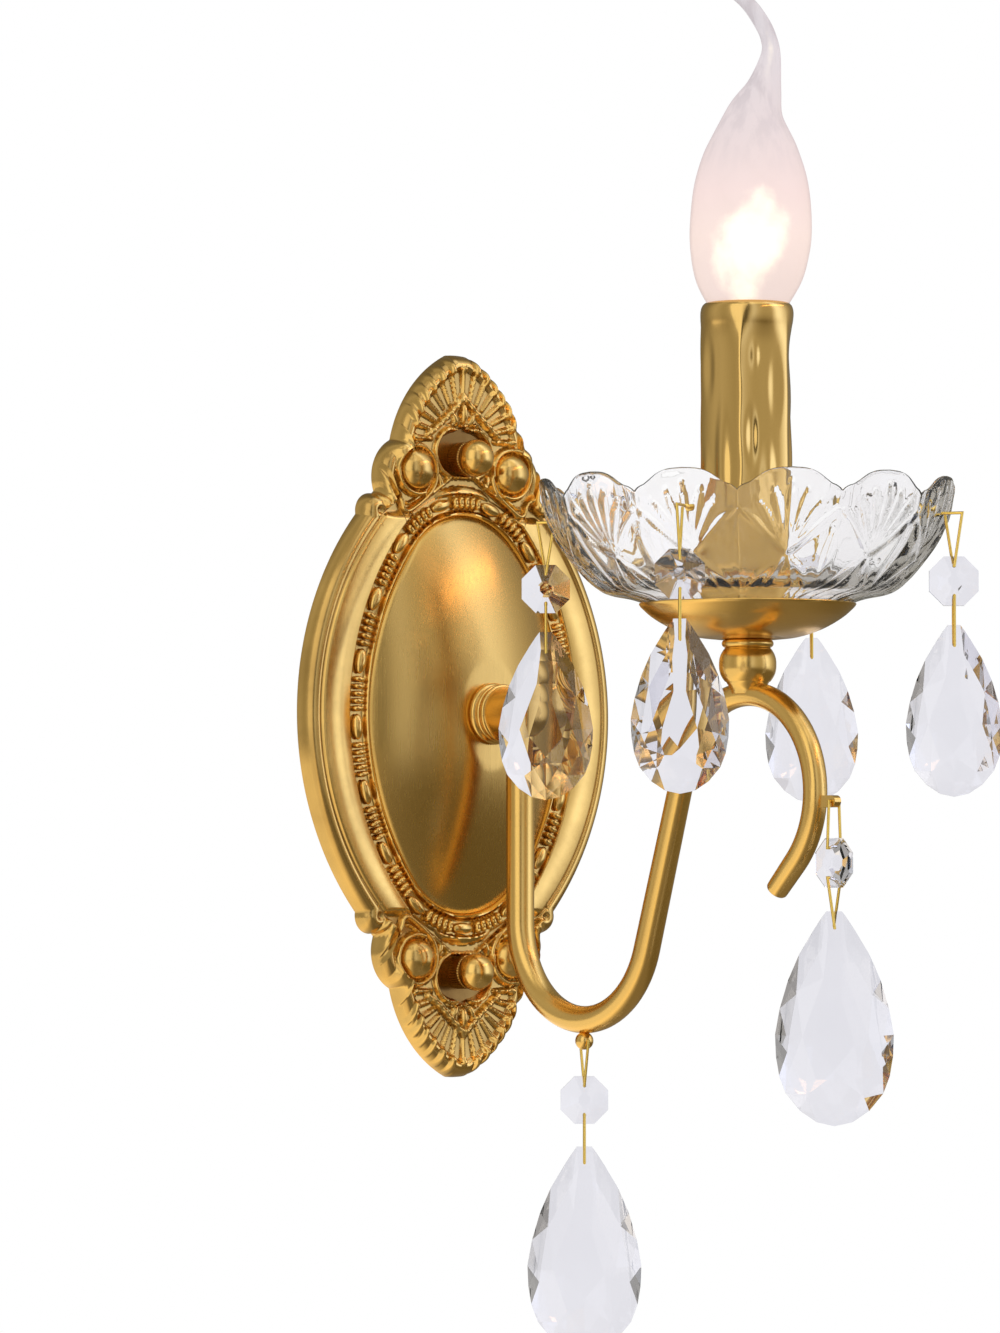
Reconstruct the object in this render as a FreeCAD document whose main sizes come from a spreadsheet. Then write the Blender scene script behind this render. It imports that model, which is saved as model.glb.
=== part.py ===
"""Crystal wall sconce: a cast backplate, a bent arm, a candle in a glass dish and six pendants.

The wall is the plane Y = 0 and the sconce stands out of it towards -Y. The origin is the middle
of the backplate, +Z is up and +X is to the right of someone who faces the wall. Millimetres.
"""
import FreeCAD, Part
import math
import os

import Sketcher
from FreeCAD import Placement, Rotation, Vector

os.makedirs("parts", exist_ok=True)
doc = FreeCAD.newDocument("CrystalWallSconce")

X = Vector(1, 0, 0)
Y = Vector(0, 1, 0)
Z = Vector(0, 0, 1)
ORIGIN = Vector(0, 0, 0)
OUT = Vector(0, -1, 0)

# --------------------------------------------------------------------------------------------
# Driving dimensions: name, value, what it is
# --------------------------------------------------------------------------------------------
SIZES = [
    ("side_radius", 91.0, "radius of the backplate's two long sides"),
    ("side_offset", 31.3, "how far each long side's centre lies beyond the middle"),
    ("crest_radius", 39.0, "radius of the two flanks of a pointed crest"),
    ("crest_offset", 13.5, "how far each flank's centre lies beyond the middle"),
    ("crest_height", 73.5, "height of the flanks' centres above the middle"),
    ("tip_radius", 30.0, "radius that blunts the crest's point"),
    ("tip_height", 109.0, "height of the crest's top above the middle"),
    ("lobe_radius", 12.5, "radius of the round shoulder that carries a boss"),
    ("lobe_spread", 19.0, "half the distance between the two bosses of a crest"),
    ("lobe_height", 71.0, "height of the bosses above the middle"),
    ("volute_radius", 5.4, "radius of the small round shoulder below a boss"),
    ("volute_spread", 32.3, "half the distance between the small shoulders"),
    ("volute_height", 60.5, "height of the small shoulders above the middle"),
    ("field_height", 5.5, "height of the backplate's field above the wall"),
    ("edge_inset", 3.6, "how far the rounded side wall leans in over its height"),
    ("cast_wall", 1.8, "wall of the casting"),
    ("border_width", 11.4, "width of the smooth border"),
    ("border_crown", 1.5, "how far the smooth border stands above the field"),
    ("bead_half_width", 41.4, "half width of the bead ring, on its centre line"),
    ("bead_half_height", 64.2, "half height of the bead ring, on its centre line"),
    ("bead_end_radius", 29.0, "radius of the bead ring's two ends"),
    ("bead_radius", 2.3, "radius of the bead ring's section"),
    ("dome_gap", 4.6, "distance of the dome's edge inside the bead ring's centre line"),
    ("dome_apex", 19.6, "height of the dome's crown, which the seat cuts off"),
    ("seat_height", 18.6, "height of the hub's seat above the wall"),
    ("boss_radius", 5.85, "radius of a boss's ball"),
    ("boss_ring_radius", 8.0, "radius of the collar round a boss"),
    ("boss_ring_height", 1.0, "height of the collar round a boss"),
    ("recess_half_width", 9.6, "half width of the recess round a ball nut"),
    ("recess_half_height", 6.9, "half height of the recess round a ball nut"),
    ("recess_floor", 3.3, "height of the recess's floor above the wall"),
    ("fan_rays", 7, "rays of the shell on each flank of a crest"),
    ("ray_radius", 1.25, "radius of a ray at its outer end"),
    ("ray_root_radius", 0.7, "radius of a ray at its inner end"),
    ("fan_base", 11.0, "height of the foot of the shell above the bosses"),
    ("fan_inner_half_width", 13.6, "half width of the shell's inner arch"),
    ("fan_inner_rise", 14.5, "rise of the shell's inner arch above its foot"),
    ("fan_outer_half_width", 19.6, "half width of the shell's outer arch"),
    ("fan_outer_rise", 22.4, "rise of the shell's outer arch above its foot"),
    ("bracket_length", 172.0, "length of the crossbar"),
    ("bracket_width", 20.0, "width of the crossbar"),
    ("bracket_thickness", 1.5, "thickness of the crossbar"),
    ("wire_hole_radius", 6.5, "radius of the hole for the wires in the crossbar"),
    ("slot_centre", 41.3, "height of the wall screw slots above the middle"),
    ("slot_length", 16.0, "length of a wall screw slot, end to end"),
    ("slot_radius", 2.3, "half width of a wall screw slot"),
    ("nut_height", 77.3, "height of the ball nuts above the middle"),
    ("stud_radius", 2.0, "radius of the studs"),
    ("stud_length", 9.5, "length of the studs from the wall"),
    ("stud_hole_clearance", 0.3, "radial clearance of a stud in the backplate"),
    ("thread_clearance", 0.06, "radial clearance of a piece that turns on a thread"),
    ("nut_ball_radius", 5.65, "largest radius of a ball nut's ball"),
    ("nut_neck_radius", 4.2, "radius where the ball meets its collar"),
    ("nut_tip_radius", 1.6, "radius of the ball's flat tip"),
    ("nut_collar_radius", 5.9, "radius of a ball nut's collar"),
    ("nut_collar_length", 4.0, "length of a ball nut's collar"),
    ("nut_top", 16.8, "height of a ball nut's top above the wall"),
    ("earth_screw_depth", 22.0, "depth of the earth screw below the middle"),
    ("earth_screw_radius", 2.0, "radius of the earth screw"),
    ("earth_head_radius", 3.9, "radius of the earth screw's head"),
    ("earth_head_height", 2.4, "height of the earth screw's head"),
    ("hub_radius", 8.0, "radius of the hub's plain part"),
    ("hub_ring_radius", 9.3, "largest radius of the hub's rings"),
    ("hub_ring_length", 2.2, "length of the hub's first ring"),
    ("hub_bead_radius", 8.8, "radius of the hub's two thin rings"),
    ("hub_bead_length", 1.4, "length of a thin ring"),
    ("hub_groove", 0.6, "length of the grooves between the rings"),
    ("hub_nose_start", 15.5, "distance from the seat to the start of the domed nose"),
    ("hub_length", 21.5, "length of the hub with its nose"),
    ("hub_tip_radius", 2.6, "radius of the nose's flat tip"),
    ("hub_bore_depth", 11.0, "depth of the hub's threaded bore"),
    ("nipple_radius", 4.85, "radius of the hub nipple"),
    ("nipple_bore", 3.4, "radius of the hub nipple's bore"),
    ("nipple_tail", 5.8, "length of the nipple behind the dome's wall"),
    ("hub_washer_radius", 8.0, "radius of the hub washer"),
    ("hub_washer_thickness", 1.2, "thickness of the hub washer"),
    ("hub_nut_flats", 13.6, "width across flats of the hub lock nut"),
    ("hub_nut_height", 3.4, "height of the hub lock nut"),
    ("arm_reach", 31.9, "distance of the arm's leg from the wall"),
    ("arm_start", 4.0, "depth of the tube's upper end below the hub's axis"),
    ("arm_radius", 4.25, "radius of the tube where it leaves the hub"),
    ("arm_bend_radius", 3.95, "radius of the tube in the U"),
    ("arm_crest_radius", 3.5, "radius of the tube over the crest"),
    ("arm_end_radius", 3.2, "radius of the tube at its free end"),
    ("arm_wall", 1.0, "wall of the tube"),
    ("bend_depth", 62.0, "depth of the U's centre below the middle"),
    ("bend_radius", 29.2, "radius of the U, on the tube's centre line"),
    ("candle_reach", 133.0, "distance of the candle from the wall"),
    ("crest_top", 2.7, "height of the arm's centre line at its crest"),
    ("hook_radius", 28.4, "radius of the crest and hook, on the centre line"),
    ("hook_turn", 45.0, "turn of the hook past the horizontal, degrees"),
    ("bend_steps", 11, "straight steps in which a bend is rolled"),
    ("hook_tail", 11.5, "length of the straight tail"),
    ("eye_radius", 2.75, "radius of the eye ball under the U"),
    ("eye_end_radius", 1.2, "radius of the eye ball's flat ends"),
    ("eye_turn", 20.0, "turn of the eye's hole to the left of the arm, degrees"),
    ("tab_height", 3.4, "height of the tab on the hook"),
    ("tab_width", 2.4, "width of the tab across the arm"),
    ("tab_length", 6.0, "how far the tab stands out of the tube"),
    ("tab_drop", 3.0, "depth of the tab below the hook's centre"),
    ("saddle_radius", 5.4, "radius of the saddle on the crest"),
    ("saddle_rise", 0.9, "height of the saddle's top above the tube"),
    ("wire_way_radius", 1.9, "radius of the wires' way through the saddle"),
    ("neck_ball_end", 5.2, "radius of the neck ball's flat ends"),
    ("neck_ball_height", 8.8, "height of the neck ball"),
    ("neck_ball_radius", 7.9, "largest radius of the neck ball"),
    ("neck_ring_end", 6.2, "radius of the neck ring's flat ends"),
    ("neck_ring_radius", 7.35, "largest radius of the neck ring"),
    ("neck_ring_height", 2.4, "height of the neck ring"),
    ("candle_nipple_radius", 4.0, "radius of the candle nipple"),
    ("candle_nipple_bore", 2.6, "radius of the candle nipple's bore"),
    ("cup_radius", 31.25, "radius of the cup's rim"),
    ("cup_depth", 10.4, "depth of the cup"),
    ("cup_foot_radius", 9.0, "radius of the cup's flat foot"),
    ("cup_bow", 2.1, "how far the cup's side bows out of the straight line"),
    ("cup_wall", 0.9, "wall of the cup"),
    ("dish_washer_radius", 9.0, "radius of the washers below and above the glass"),
    ("dish_washer_thickness", 1.4, "thickness of those washers"),
    ("dish_wall", 3.4, "wall of the glass"),
    ("dish_floor_radius", 13.0, "radius of the dish's flat floor"),
    ("dish_lap_radius", 31.6, "radius at which the dish passes over the cup's rim"),
    ("dish_lap", 0.5, "height of the glass above the cup's rim there"),
    ("dish_shelf_radius", 43.5, "radius at which the dish turns up"),
    ("dish_shelf_rise", 4.0, "height of that place above the cup's rim"),
    ("dish_side_radius", 53.0, "radius of the dish half way up its side"),
    ("dish_side_rise", 14.5, "height of that place above the cup's rim"),
    ("dish_brim_radius", 58.4, "radius of the dish below its brim"),
    ("dish_brim_rise", 25.0, "height of that place above the cup's rim"),
    ("dish_radius", 60.3, "radius of the dish at its lobes' tops"),
    ("dish_rise", 34.6, "height of the lobes' tops above the cup's rim"),
    ("dish_scallops", 12, "lobes of the dish"),
    ("lobe_flats", 4, "flats that make the curve of a lobe"),
    ("scallop_depth", 7.0, "depth of the valleys below the lobes' tops"),
    ("flute_depth", 1.9, "depth of the flutes between the lobes"),
    ("dish_turn", -60.0, "direction of the first lobe, degrees to the right of straight out"),
    ("dish_bore_clearance", 0.5, "radial clearance of the glass round its nipple"),
    ("dish_nut_radius", 8.0, "radius of the nut that clamps the dish"),
    ("dish_nut_height", 3.2, "height of that nut"),
    ("pendant_hole_rise", 24.6, "height of the pendant holes above the cup's rim"),
    ("pendants", 4, "pendants that hang from the dish"),
    ("sleeve_radius", 13.4, "radius of the candle sleeve"),
    ("sleeve_seat_gap", 1.2, "how far the dish's flat floor reaches beyond the sleeve's foot"),
    ("sleeve_lip", 0.5, "how far the sleeve's rolled rim stands out"),
    ("sleeve_lip_height", 5.0, "height of the sleeve's rolled rim"),
    ("sleeve_wall", 1.1, "wall of the candle sleeve"),
    ("sleeve_height", 91.0, "height of the candle sleeve"),
    ("holder_length", 30.0, "length of the lampholder's body"),
    ("holder_wall", 2.6, "wall of the lampholder's body"),
    ("holder_floor", 4.0, "thickness of the lampholder's floor"),
    ("holder_setback", 6.6, "depth of the lampholder's mouth below the sleeve's rim"),
    ("stem_wall", 1.3, "wall of the lampholder's stem"),
    ("nipple_engagement", 5.0, "length of the nipple inside the lampholder's stem"),
    ("shell_wall", 0.4, "wall of the lampholder's threaded shell"),
    ("shell_length", 18.0, "length of the lampholder's threaded shell"),
    ("contact_radius", 1.5, "radius of the lampholder's centre contact"),
    ("contact_flange", 3.6, "radius of the centre contact's foot"),
    ("contact_foot", 1.0, "thickness of the centre contact's foot"),
    ("bulb_base_radius", 5.9, "radius of the bulb's screw base"),
    ("bulb_base_wall", 0.4, "wall of the bulb's screw base"),
    ("bulb_base_length", 15.5, "length of the bulb's screw base"),
    ("bulb_contact_radius", 2.0, "radius of the bulb's end contact"),
    ("bulb_contact_height", 1.8, "height of the bulb's end contact"),
    ("bulb_length", 101.0, "length of the bulb's glass above its base"),
    ("bulb_radius", 17.6, "largest radius of the bulb's glass"),
    ("bulb_neck_radius", 6.6, "radius of the bulb's glass where it meets the base"),
    ("bulb_tip_radius", 2.4, "radius of the bent tip"),
    ("bulb_tip_bend", 7.4, "how far the tip bends to the side"),
    ("bulb_glass_wall", 0.8, "wall of the bulb's glass"),
    ("bulb_stem_height", 27.0, "height of the glass stem inside the bulb"),
    ("bulb_stem_radius", 2.6, "radius of that stem"),
    ("bulb_flange_height", 1.2, "height of the stem's flange"),
    ("support_radius", 0.3, "radius of the filament's supports"),
    ("support_height", 13.0, "height of the supports above the stem"),
    ("support_spread", 6.0, "half the distance between the supports' ends"),
    ("wire_radius", 0.42, "radius of the pendant wires"),
    ("wire_clearance", 0.08, "radial clearance of a wire in its hole"),
    ("wire_gap", 0.3, "distance between a wire and the face that it passes"),
    ("head_radius", 0.95, "radius of a hook wire's head inside the dish"),
    ("octagon_width", 14.0, "width of an octagon across its flats"),
    ("octagon_edge", 1.6, "thickness of an octagon at its edge"),
    ("octagon_slope", 20.0, "slope of an octagon's facets, degrees"),
    ("octagon_table", 0.75, "share of an octagon's peak that its table leaves"),
    ("octagon_hole_inset", 2.8, "distance of an octagon's holes from its edge"),
    ("small_drop_height", 50.0, "height of the four small drops"),
    ("small_drop_width", 27.8, "width of the four small drops"),
    ("large_drop_height", 63.0, "height of the two large drops"),
    ("large_drop_width", 34.0, "width of the two large drops"),
    ("drop_share", 0.38, "thickness of a drop as a share of its width"),
    ("drop_edge", 1.6, "thickness of a drop at its edge"),
    ("drop_point", 0.7, "how pointed the drops are towards their holes"),
    ("drop_belly", 0.59, "place of a drop's peak as a share of its height"),
    ("drop_table", 0.88, "share of a drop's peak that its table leaves"),
    ("drop_facets", 14, "edges of a drop's outline"),
    ("drop_hole_inset", 7.2, "distance of a drop's hole from its top"),
    ("long_hook", 15.2, "distance between the pins of a hook wire on the dish"),
    ("short_hook", 13.2, "distance between the pins of a hook wire on the arm"),
    ("link_length", 14.2, "distance between a link wire's two pins"),
    ("view_turn", 40.0, "turn of the crystals' faces to the left, degrees"),
]

sheet = doc.addObject("Spreadsheet::Sheet", "Sizes")
for row, (alias, value, meaning) in enumerate(SIZES, start=1):
    sheet.set("A%d" % row, alias)
    sheet.set("B%d" % row, str(value))
    sheet.set("C%d" % row, meaning)
    sheet.setAlias("B%d" % row, alias)
doc.recompute()

size = {alias: float(getattr(sheet, alias)) for alias, value, meaning in SIZES}
pieces = []


# --------------------------------------------------------------------------------------------
# Helpers
# --------------------------------------------------------------------------------------------
def measure(text):
    """The value of a sum such as "cup_radius - 2*cup_wall" of named sizes and plain numbers."""
    total = 0.0
    sign = 1.0
    for word in text.split():
        if word == "+":
            sign = 1.0
        elif word == "-":
            sign = -1.0
        else:
            product = 1.0
            for factor in word.split("*"):
                product *= size[factor] if factor in size else float(factor)
            total += sign * product
    return total


def bound(text):
    """The same sum, written as an expression on the spreadsheet."""
    words = []
    for word in text.split():
        factors = ["Sizes." + factor if factor in size else factor for factor in word.split("*")]
        words.append("*".join(factors))
    return " ".join(words)


def origin_plane(body, role):
    return [plane for plane in body.Origin.OriginFeatures if plane.Role == role][0]


def arc_between(start, end, radius):
    """An arc of the given radius from start to end that bulges to the right of the way."""
    chord = end - start
    half = chord.Length / 2
    away = Vector(chord.y, -chord.x, 0).normalize()
    middle = (start + end) * 0.5
    sagitta = radius - math.sqrt(max(radius ** 2 - half ** 2, 0.0))
    return Part.Arc(start, middle + away * sagitta, end)


def draw_outline(sketch, corners):
    """A closed outline. A corner is (x, y), or (x, y, radius, side) when an arc leaves it.

    Side 1 bulges to the right of the way and side -1 to the left.
    """
    points = [Vector(measure(corner[0]), measure(corner[1]), 0) for corner in corners]
    first = len(sketch.Geometry)
    forward = []
    for place, corner in enumerate(corners):
        start = points[place]
        end = points[(place + 1) % len(points)]
        if len(corner) == 2:
            sketch.addGeometry(Part.LineSegment(start, end), False)
            forward.append(True)
        elif corner[3] > 0:
            sketch.addGeometry(arc_between(start, end, measure(corner[2])), False)
            forward.append(True)
        else:
            sketch.addGeometry(arc_between(end, start, measure(corner[2])), False)
            forward.append(False)
    for place, corner in enumerate(corners):
        edge = first + place
        following = (place + 1) % len(corners)
        leaves = 1 if forward[place] else 2
        arrives = 2 if forward[place] else 1
        next_leaves = 1 if forward[following] else 2
        sketch.addConstraint(
            Sketcher.Constraint("Coincident", edge, arrives, first + following, next_leaves))
        for axis, text in (("DistanceX", corner[0]), ("DistanceY", corner[1])):
            if text == "0":
                line = -2 if axis == "DistanceX" else -1
                sketch.addConstraint(Sketcher.Constraint("PointOnObject", edge, leaves, line))
            else:
                index = sketch.addConstraint(
                    Sketcher.Constraint(axis, -1, 1, edge, leaves, measure(text)))
                sketch.setExpression("Constraints[%d]" % index, bound(text))
        if len(corner) > 2:
            chord = (points[following] - points[place]).Length
            if abs(chord - 2 * measure(corner[2])) < 1e-6:
                sketch.addConstraint(Sketcher.Constraint("Symmetric", edge, 1, edge, 2, edge, 3))
            else:
                index = sketch.addConstraint(
                    Sketcher.Constraint("Radius", edge, measure(corner[2])))
                sketch.setExpression("Constraints[%d]" % index, bound(corner[2]))


def new_sketch(body, name, role):
    sketch = body.newObject("Sketcher::SketchObject", name)
    sketch.AttachmentSupport = [(origin_plane(body, role), "")]
    sketch.MapMode = "FlatFace"
    return sketch


def turned(label, corners, placement, kept=True):
    """A piece turned about its own Z axis from a half section (radius, height)."""
    body = doc.addObject("PartDesign::Body", "Body_" + label)
    body.Label = label
    section = new_sketch(body, "Section_" + label, "XZ_Plane")
    draw_outline(section, corners)
    spin = body.newObject("PartDesign::Revolution", "Turned_" + label)
    spin.Profile = section
    spin.ReferenceAxis = (section, ["V_Axis"])
    spin.Angle = 360
    body.Tip = spin
    body.Placement = placement
    if kept:
        pieces.append(body)
    return body


def bulging(end, belly, foot, height, start=0.0, bands=4):
    """Corners of a side that bulges from one end radius to its belly and back, in flat bands.

    The side is an arc seen at a slant. It begins at the angle start, 0 for a half round.
    """
    corners = [(end, foot)]
    lowest = math.sin(start)
    for band in range(1, bands):
        angle = start + (math.pi - 2 * start) * band / bands
        out = (math.sin(angle) - lowest) / (1 - lowest)
        up = (math.cos(start) - math.cos(angle)) / (2 * math.cos(start))
        corners.append(("%.4f*%s + %.4f*%s" % (1 - out, end, out, belly),
                        "%s + %.4f*%s" % (foot, up, height)))
    corners.append((end, "%s + %s" % (foot, height)))
    return corners


def tube(label, inner, outer, length, placement):
    """A plain round tube or washer."""
    return turned(label, [(inner, "0"), (outer, "0"), (outer, length), (inner, length)], placement)


def shaped(label, shape):
    """A piece whose shape is worked out here from the sizes."""
    piece = doc.addObject("Part::Feature", "Shape_" + label)
    piece.Label = label
    piece.Shape = shape
    pieces.append(piece)
    return piece


def from_wall(height_text, up_text="0"):
    """A placement whose own Z axis points out of the wall."""
    return Placement(Vector(0, -measure(height_text), measure(up_text)), Rotation(X, 90))


def on_candle(height):
    """A placement on the candle's axis."""
    return Placement(Vector(0, -size["candle_reach"], height), Rotation())


def direction(turn):
    """Level direction, in degrees to the right of straight out of the wall."""
    angle = math.radians(turn)
    return Vector(math.sin(angle), -math.cos(angle), 0)


def half_space(point, normal):
    """A block that fills everything beyond a plane."""
    reach = 400.0
    block = Part.makeBox(reach, reach, reach, Vector(-reach / 2, -reach / 2, 0))
    block.Placement = Placement(point, Rotation(Z, normal))
    return block


def trimmed(solid, planes):
    """The solid without what lies beyond each plane (point, normal)."""
    for point, normal in planes:
        solid = solid.cut(half_space(point, normal))
    return solid


def rod(start, end, radius):
    way = end - start
    return Part.makeCylinder(radius, way.Length, start, way)


def oval_arcs(half_width, half_height, end_radius, level):
    """An oval of four tangent arcs, level with the wall, at a height above it."""
    side = (half_width ** 2 + (half_height - end_radius) ** 2 - end_radius ** 2)
    side = side / (2 * (half_width - end_radius))
    lean = math.atan2(half_height - end_radius, side - half_width)
    end_centre = half_height - end_radius
    joint_x = end_radius * math.cos(lean)
    joint_z = end_centre + end_radius * math.sin(lean)

    def spot(x, z):
        return Vector(x, -level, z)

    right = Part.Arc(spot(joint_x, -joint_z), spot(half_width, 0), spot(joint_x, joint_z))
    top = Part.Arc(spot(joint_x, joint_z), spot(0, half_height), spot(-joint_x, joint_z))
    left = Part.Arc(spot(-joint_x, joint_z), spot(-half_width, 0), spot(-joint_x, -joint_z))
    bottom = Part.Arc(spot(-joint_x, -joint_z), spot(0, -half_height), spot(joint_x, -joint_z))
    return Part.Wire([arc.toShape() for arc in (right, top, left, bottom)])


# --------------------------------------------------------------------------------------------
# Backplate: a cast shell of overlapping rounded forms, hollow at the back
# --------------------------------------------------------------------------------------------
def rounded_disc(centre_x, centre_z, radius, height, inset):
    """A disc on the wall whose side leans in, first a little and then more."""
    outline = Part.makePolygon([
        ORIGIN,
        Vector(radius, 0, 0),
        Vector(radius - 0.25 * inset, 0, 0.6 * height),
        Vector(radius - inset, 0, height),
        Vector(0, 0, height),
        ORIGIN,
    ])
    disc = Part.Face(outline).revolve(ORIGIN, Z, 360)
    disc.Placement = Placement(Vector(centre_x, 0, centre_z), Rotation(X, 90))
    return disc


def flat_disc(centre_x, centre_z, radius, height):
    return Part.makeCylinder(radius, height, Vector(centre_x, 0, centre_z), OUT)


def plate_form(disc, shrink):
    """The plate's whole outline, made of discs that are smaller by a given amount."""
    side = size["side_radius"] - shrink
    flank = size["crest_radius"] - shrink
    tip = size["tip_radius"] - shrink
    form = disc(-size["side_offset"], 0, side).common(disc(size["side_offset"], 0, side))
    for up in (1, -1):
        level = up * size["crest_height"]
        crest = disc(-size["crest_offset"], level, flank)
        crest = crest.common(disc(size["crest_offset"], level, flank))
        tip_centre = up * (size["tip_height"] - size["tip_radius"])
        form = form.fuse(crest.common(disc(0, tip_centre, tip)))
        for side_way in (1, -1):
            form = form.fuse(disc(side_way * size["lobe_spread"], up * size["lobe_height"],
                                  size["lobe_radius"] - shrink))
            form = form.fuse(disc(side_way * size["volute_spread"], up * size["volute_height"],
                                  size["volute_radius"] - shrink))
    return form


def dome(thinner, foot, top):
    """The oval dome between two heights: part of a ring that is curved more across than along."""
    rise = size["dome_apex"] - size["field_height"]
    half_width = size["bead_half_width"] - size["dome_gap"]
    half_height = size["bead_half_height"] - size["dome_gap"]
    across = (half_width ** 2 + rise ** 2) / (2 * rise)
    along = (half_height ** 2 + rise ** 2) / (2 * rise)
    ring = Part.makeTorus(along - across, across - thinner,
                          Vector(0, along - size["dome_apex"], 0), X)
    slab = Part.makeBox(4 * half_width, top - foot, 4 * half_height,
                        Vector(-2 * half_width, -top, -2 * half_height))
    return slab.common(ring)


def bead_rib():
    """The rib that carries the beads, with sloping sides, round the dome."""
    ovals = []
    for way in (1, -1):
        rings = []
        for share, lift in ((1.0, 0.0), (0.45, 1.0)):
            wider = way * share * size["bead_radius"]
            rings.append(oval_arcs(size["bead_half_width"] + wider,
                                   size["bead_half_height"] + wider,
                                   size["bead_end_radius"] + wider,
                                   size["field_height"] + lift * size["bead_radius"]))
        ovals.append(Part.makeLoft(rings, True, True))
    return ovals[0].cut(ovals[1])


def border_band(side_way):
    """The smooth crowned band along one long side."""
    outer = size["side_radius"] - size["edge_inset"]
    width = size["border_width"]
    base = size["field_height"]
    crown = base + size["border_crown"]
    section = Part.Face(Part.makePolygon([
        Vector(outer, 0, base),
        Vector(outer - 0.3 * width, 0, crown),
        Vector(outer - 0.7 * width, 0, crown),
        Vector(outer - width, 0, base),
        Vector(outer, 0, base),
    ]))
    section.rotate(ORIGIN, Z, 180 if side_way < 0 else 0)
    half_turn = math.degrees(math.asin(size["volute_height"] / outer))
    section.rotate(ORIGIN, Z, -half_turn)
    band = section.revolve(ORIGIN, Z, 2 * half_turn)
    band.Placement = Placement(Vector(-side_way * size["side_offset"], 0, 0), Rotation(X, 90))
    return band


def boss():
    """A boss on its collar, turned about Z, standing on Z = 0."""
    ball = size["boss_radius"]
    collar = size["boss_ring_radius"]
    height = size["boss_ring_height"]
    corners = [ORIGIN, Vector(collar, 0, 0), Vector(collar - 0.6 * height, 0, height),
               Vector(ball, 0, height)]
    for angle in (30, 60):
        turn = math.radians(angle)
        corners.append(Vector(ball * math.cos(turn), 0, height + ball * math.sin(turn)))
    corners.append(Vector(0, 0, height + ball * math.sin(math.radians(68))))
    corners.append(ORIGIN)
    return Part.Face(Part.makePolygon(corners)).revolve(ORIGIN, Z, 360)


def ray(start, end):
    """A ridge on the field that widens from its start to its end."""
    way = (end - start).normalize()
    side = way.cross(OUT)
    rings = []
    for spot, radius in ((start, size["ray_root_radius"]), (end, size["ray_radius"])):
        corners = [spot + side * radius, spot + OUT * radius, spot - side * radius]
        rings.append(Part.makePolygon(corners + [corners[0]]))
    return Part.makeLoft(rings, True, True)


def crest_ornament(up):
    """The bosses and the shell's rays of one crest."""
    field = size["field_height"]
    ornament = []
    foot = size["lobe_height"] + size["fan_base"]
    rays = int(size["fan_rays"])
    for side_way in (1, -1):
        knob = boss()
        knob.Placement = Placement(Vector(side_way * size["lobe_spread"], -field,
                                          up * size["lobe_height"]), Rotation(X, 90))
        ornament.append(knob)
        for place in range(rays):
            angle = math.pi / 2 * (place + 0.5) / rays
            inner = Vector(side_way * size["fan_inner_half_width"] * math.cos(angle), -field,
                           up * (foot + size["fan_inner_rise"] * math.sin(angle)))
            outer = Vector(side_way * size["fan_outer_half_width"] * math.cos(angle), -field,
                           up * (foot + size["fan_outer_rise"] * math.sin(angle)))
            ornament.append(ray(inner, outer))
    return ornament


def backplate():
    field = size["field_height"]
    wall = size["cast_wall"]
    inset = size["edge_inset"]
    seat = size["seat_height"]
    spare = size["stud_hole_clearance"]

    def outer_disc(x, z, radius):
        return rounded_disc(x, z, radius, field, inset)

    def inner_disc(x, z, radius):
        return flat_disc(x, z, radius, field - wall)

    plate = plate_form(outer_disc, 0.0)
    hollow = plate_form(inner_disc, inset + wall)
    for up in (1, -1):
        pad = Part.makeCylinder(size["recess_half_width"] + wall, field,
                                Vector(0, 0, up * size["nut_height"]), OUT)
        hollow = hollow.cut(pad)
    half_bar = size["bracket_width"] / 2 + spare
    half_length = size["bracket_length"] / 2 + spare
    bracket_room = Part.makeBox(2 * half_bar, size["bracket_thickness"], 2 * half_length,
                                Vector(-half_bar, -size["bracket_thickness"], -half_length))
    added = [border_band(1), border_band(-1), bead_rib(), dome(0.0, field - wall, seat)]
    added += crest_ornament(1) + crest_ornament(-1)
    plate = plate.multiFuse(added)
    plate = plate.cut(hollow.multiFuse([bracket_room, dome(wall, 0.0, seat - wall)]))
    for up in (1, -1):
        level = up * size["nut_height"]
        recess = Part.Face(oval_arcs(size["recess_half_height"], size["recess_half_width"],
                                     0.8 * size["recess_half_height"], 0.0))
        recess = recess.extrude(OUT * seat)
        recess.rotate(ORIGIN, Y, 90)
        recess.translate(Vector(0, -size["recess_floor"], level))
        stud_hole = Part.makeCylinder(size["stud_radius"] + spare, field, Z * level, OUT)
        plate = plate.cut(recess).cut(stud_hole)
    nipple_hole = Part.makeCylinder(size["nipple_radius"], seat + wall, ORIGIN, OUT)
    return plate.cut(nipple_hole)


shaped("backplate", backplate())


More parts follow.
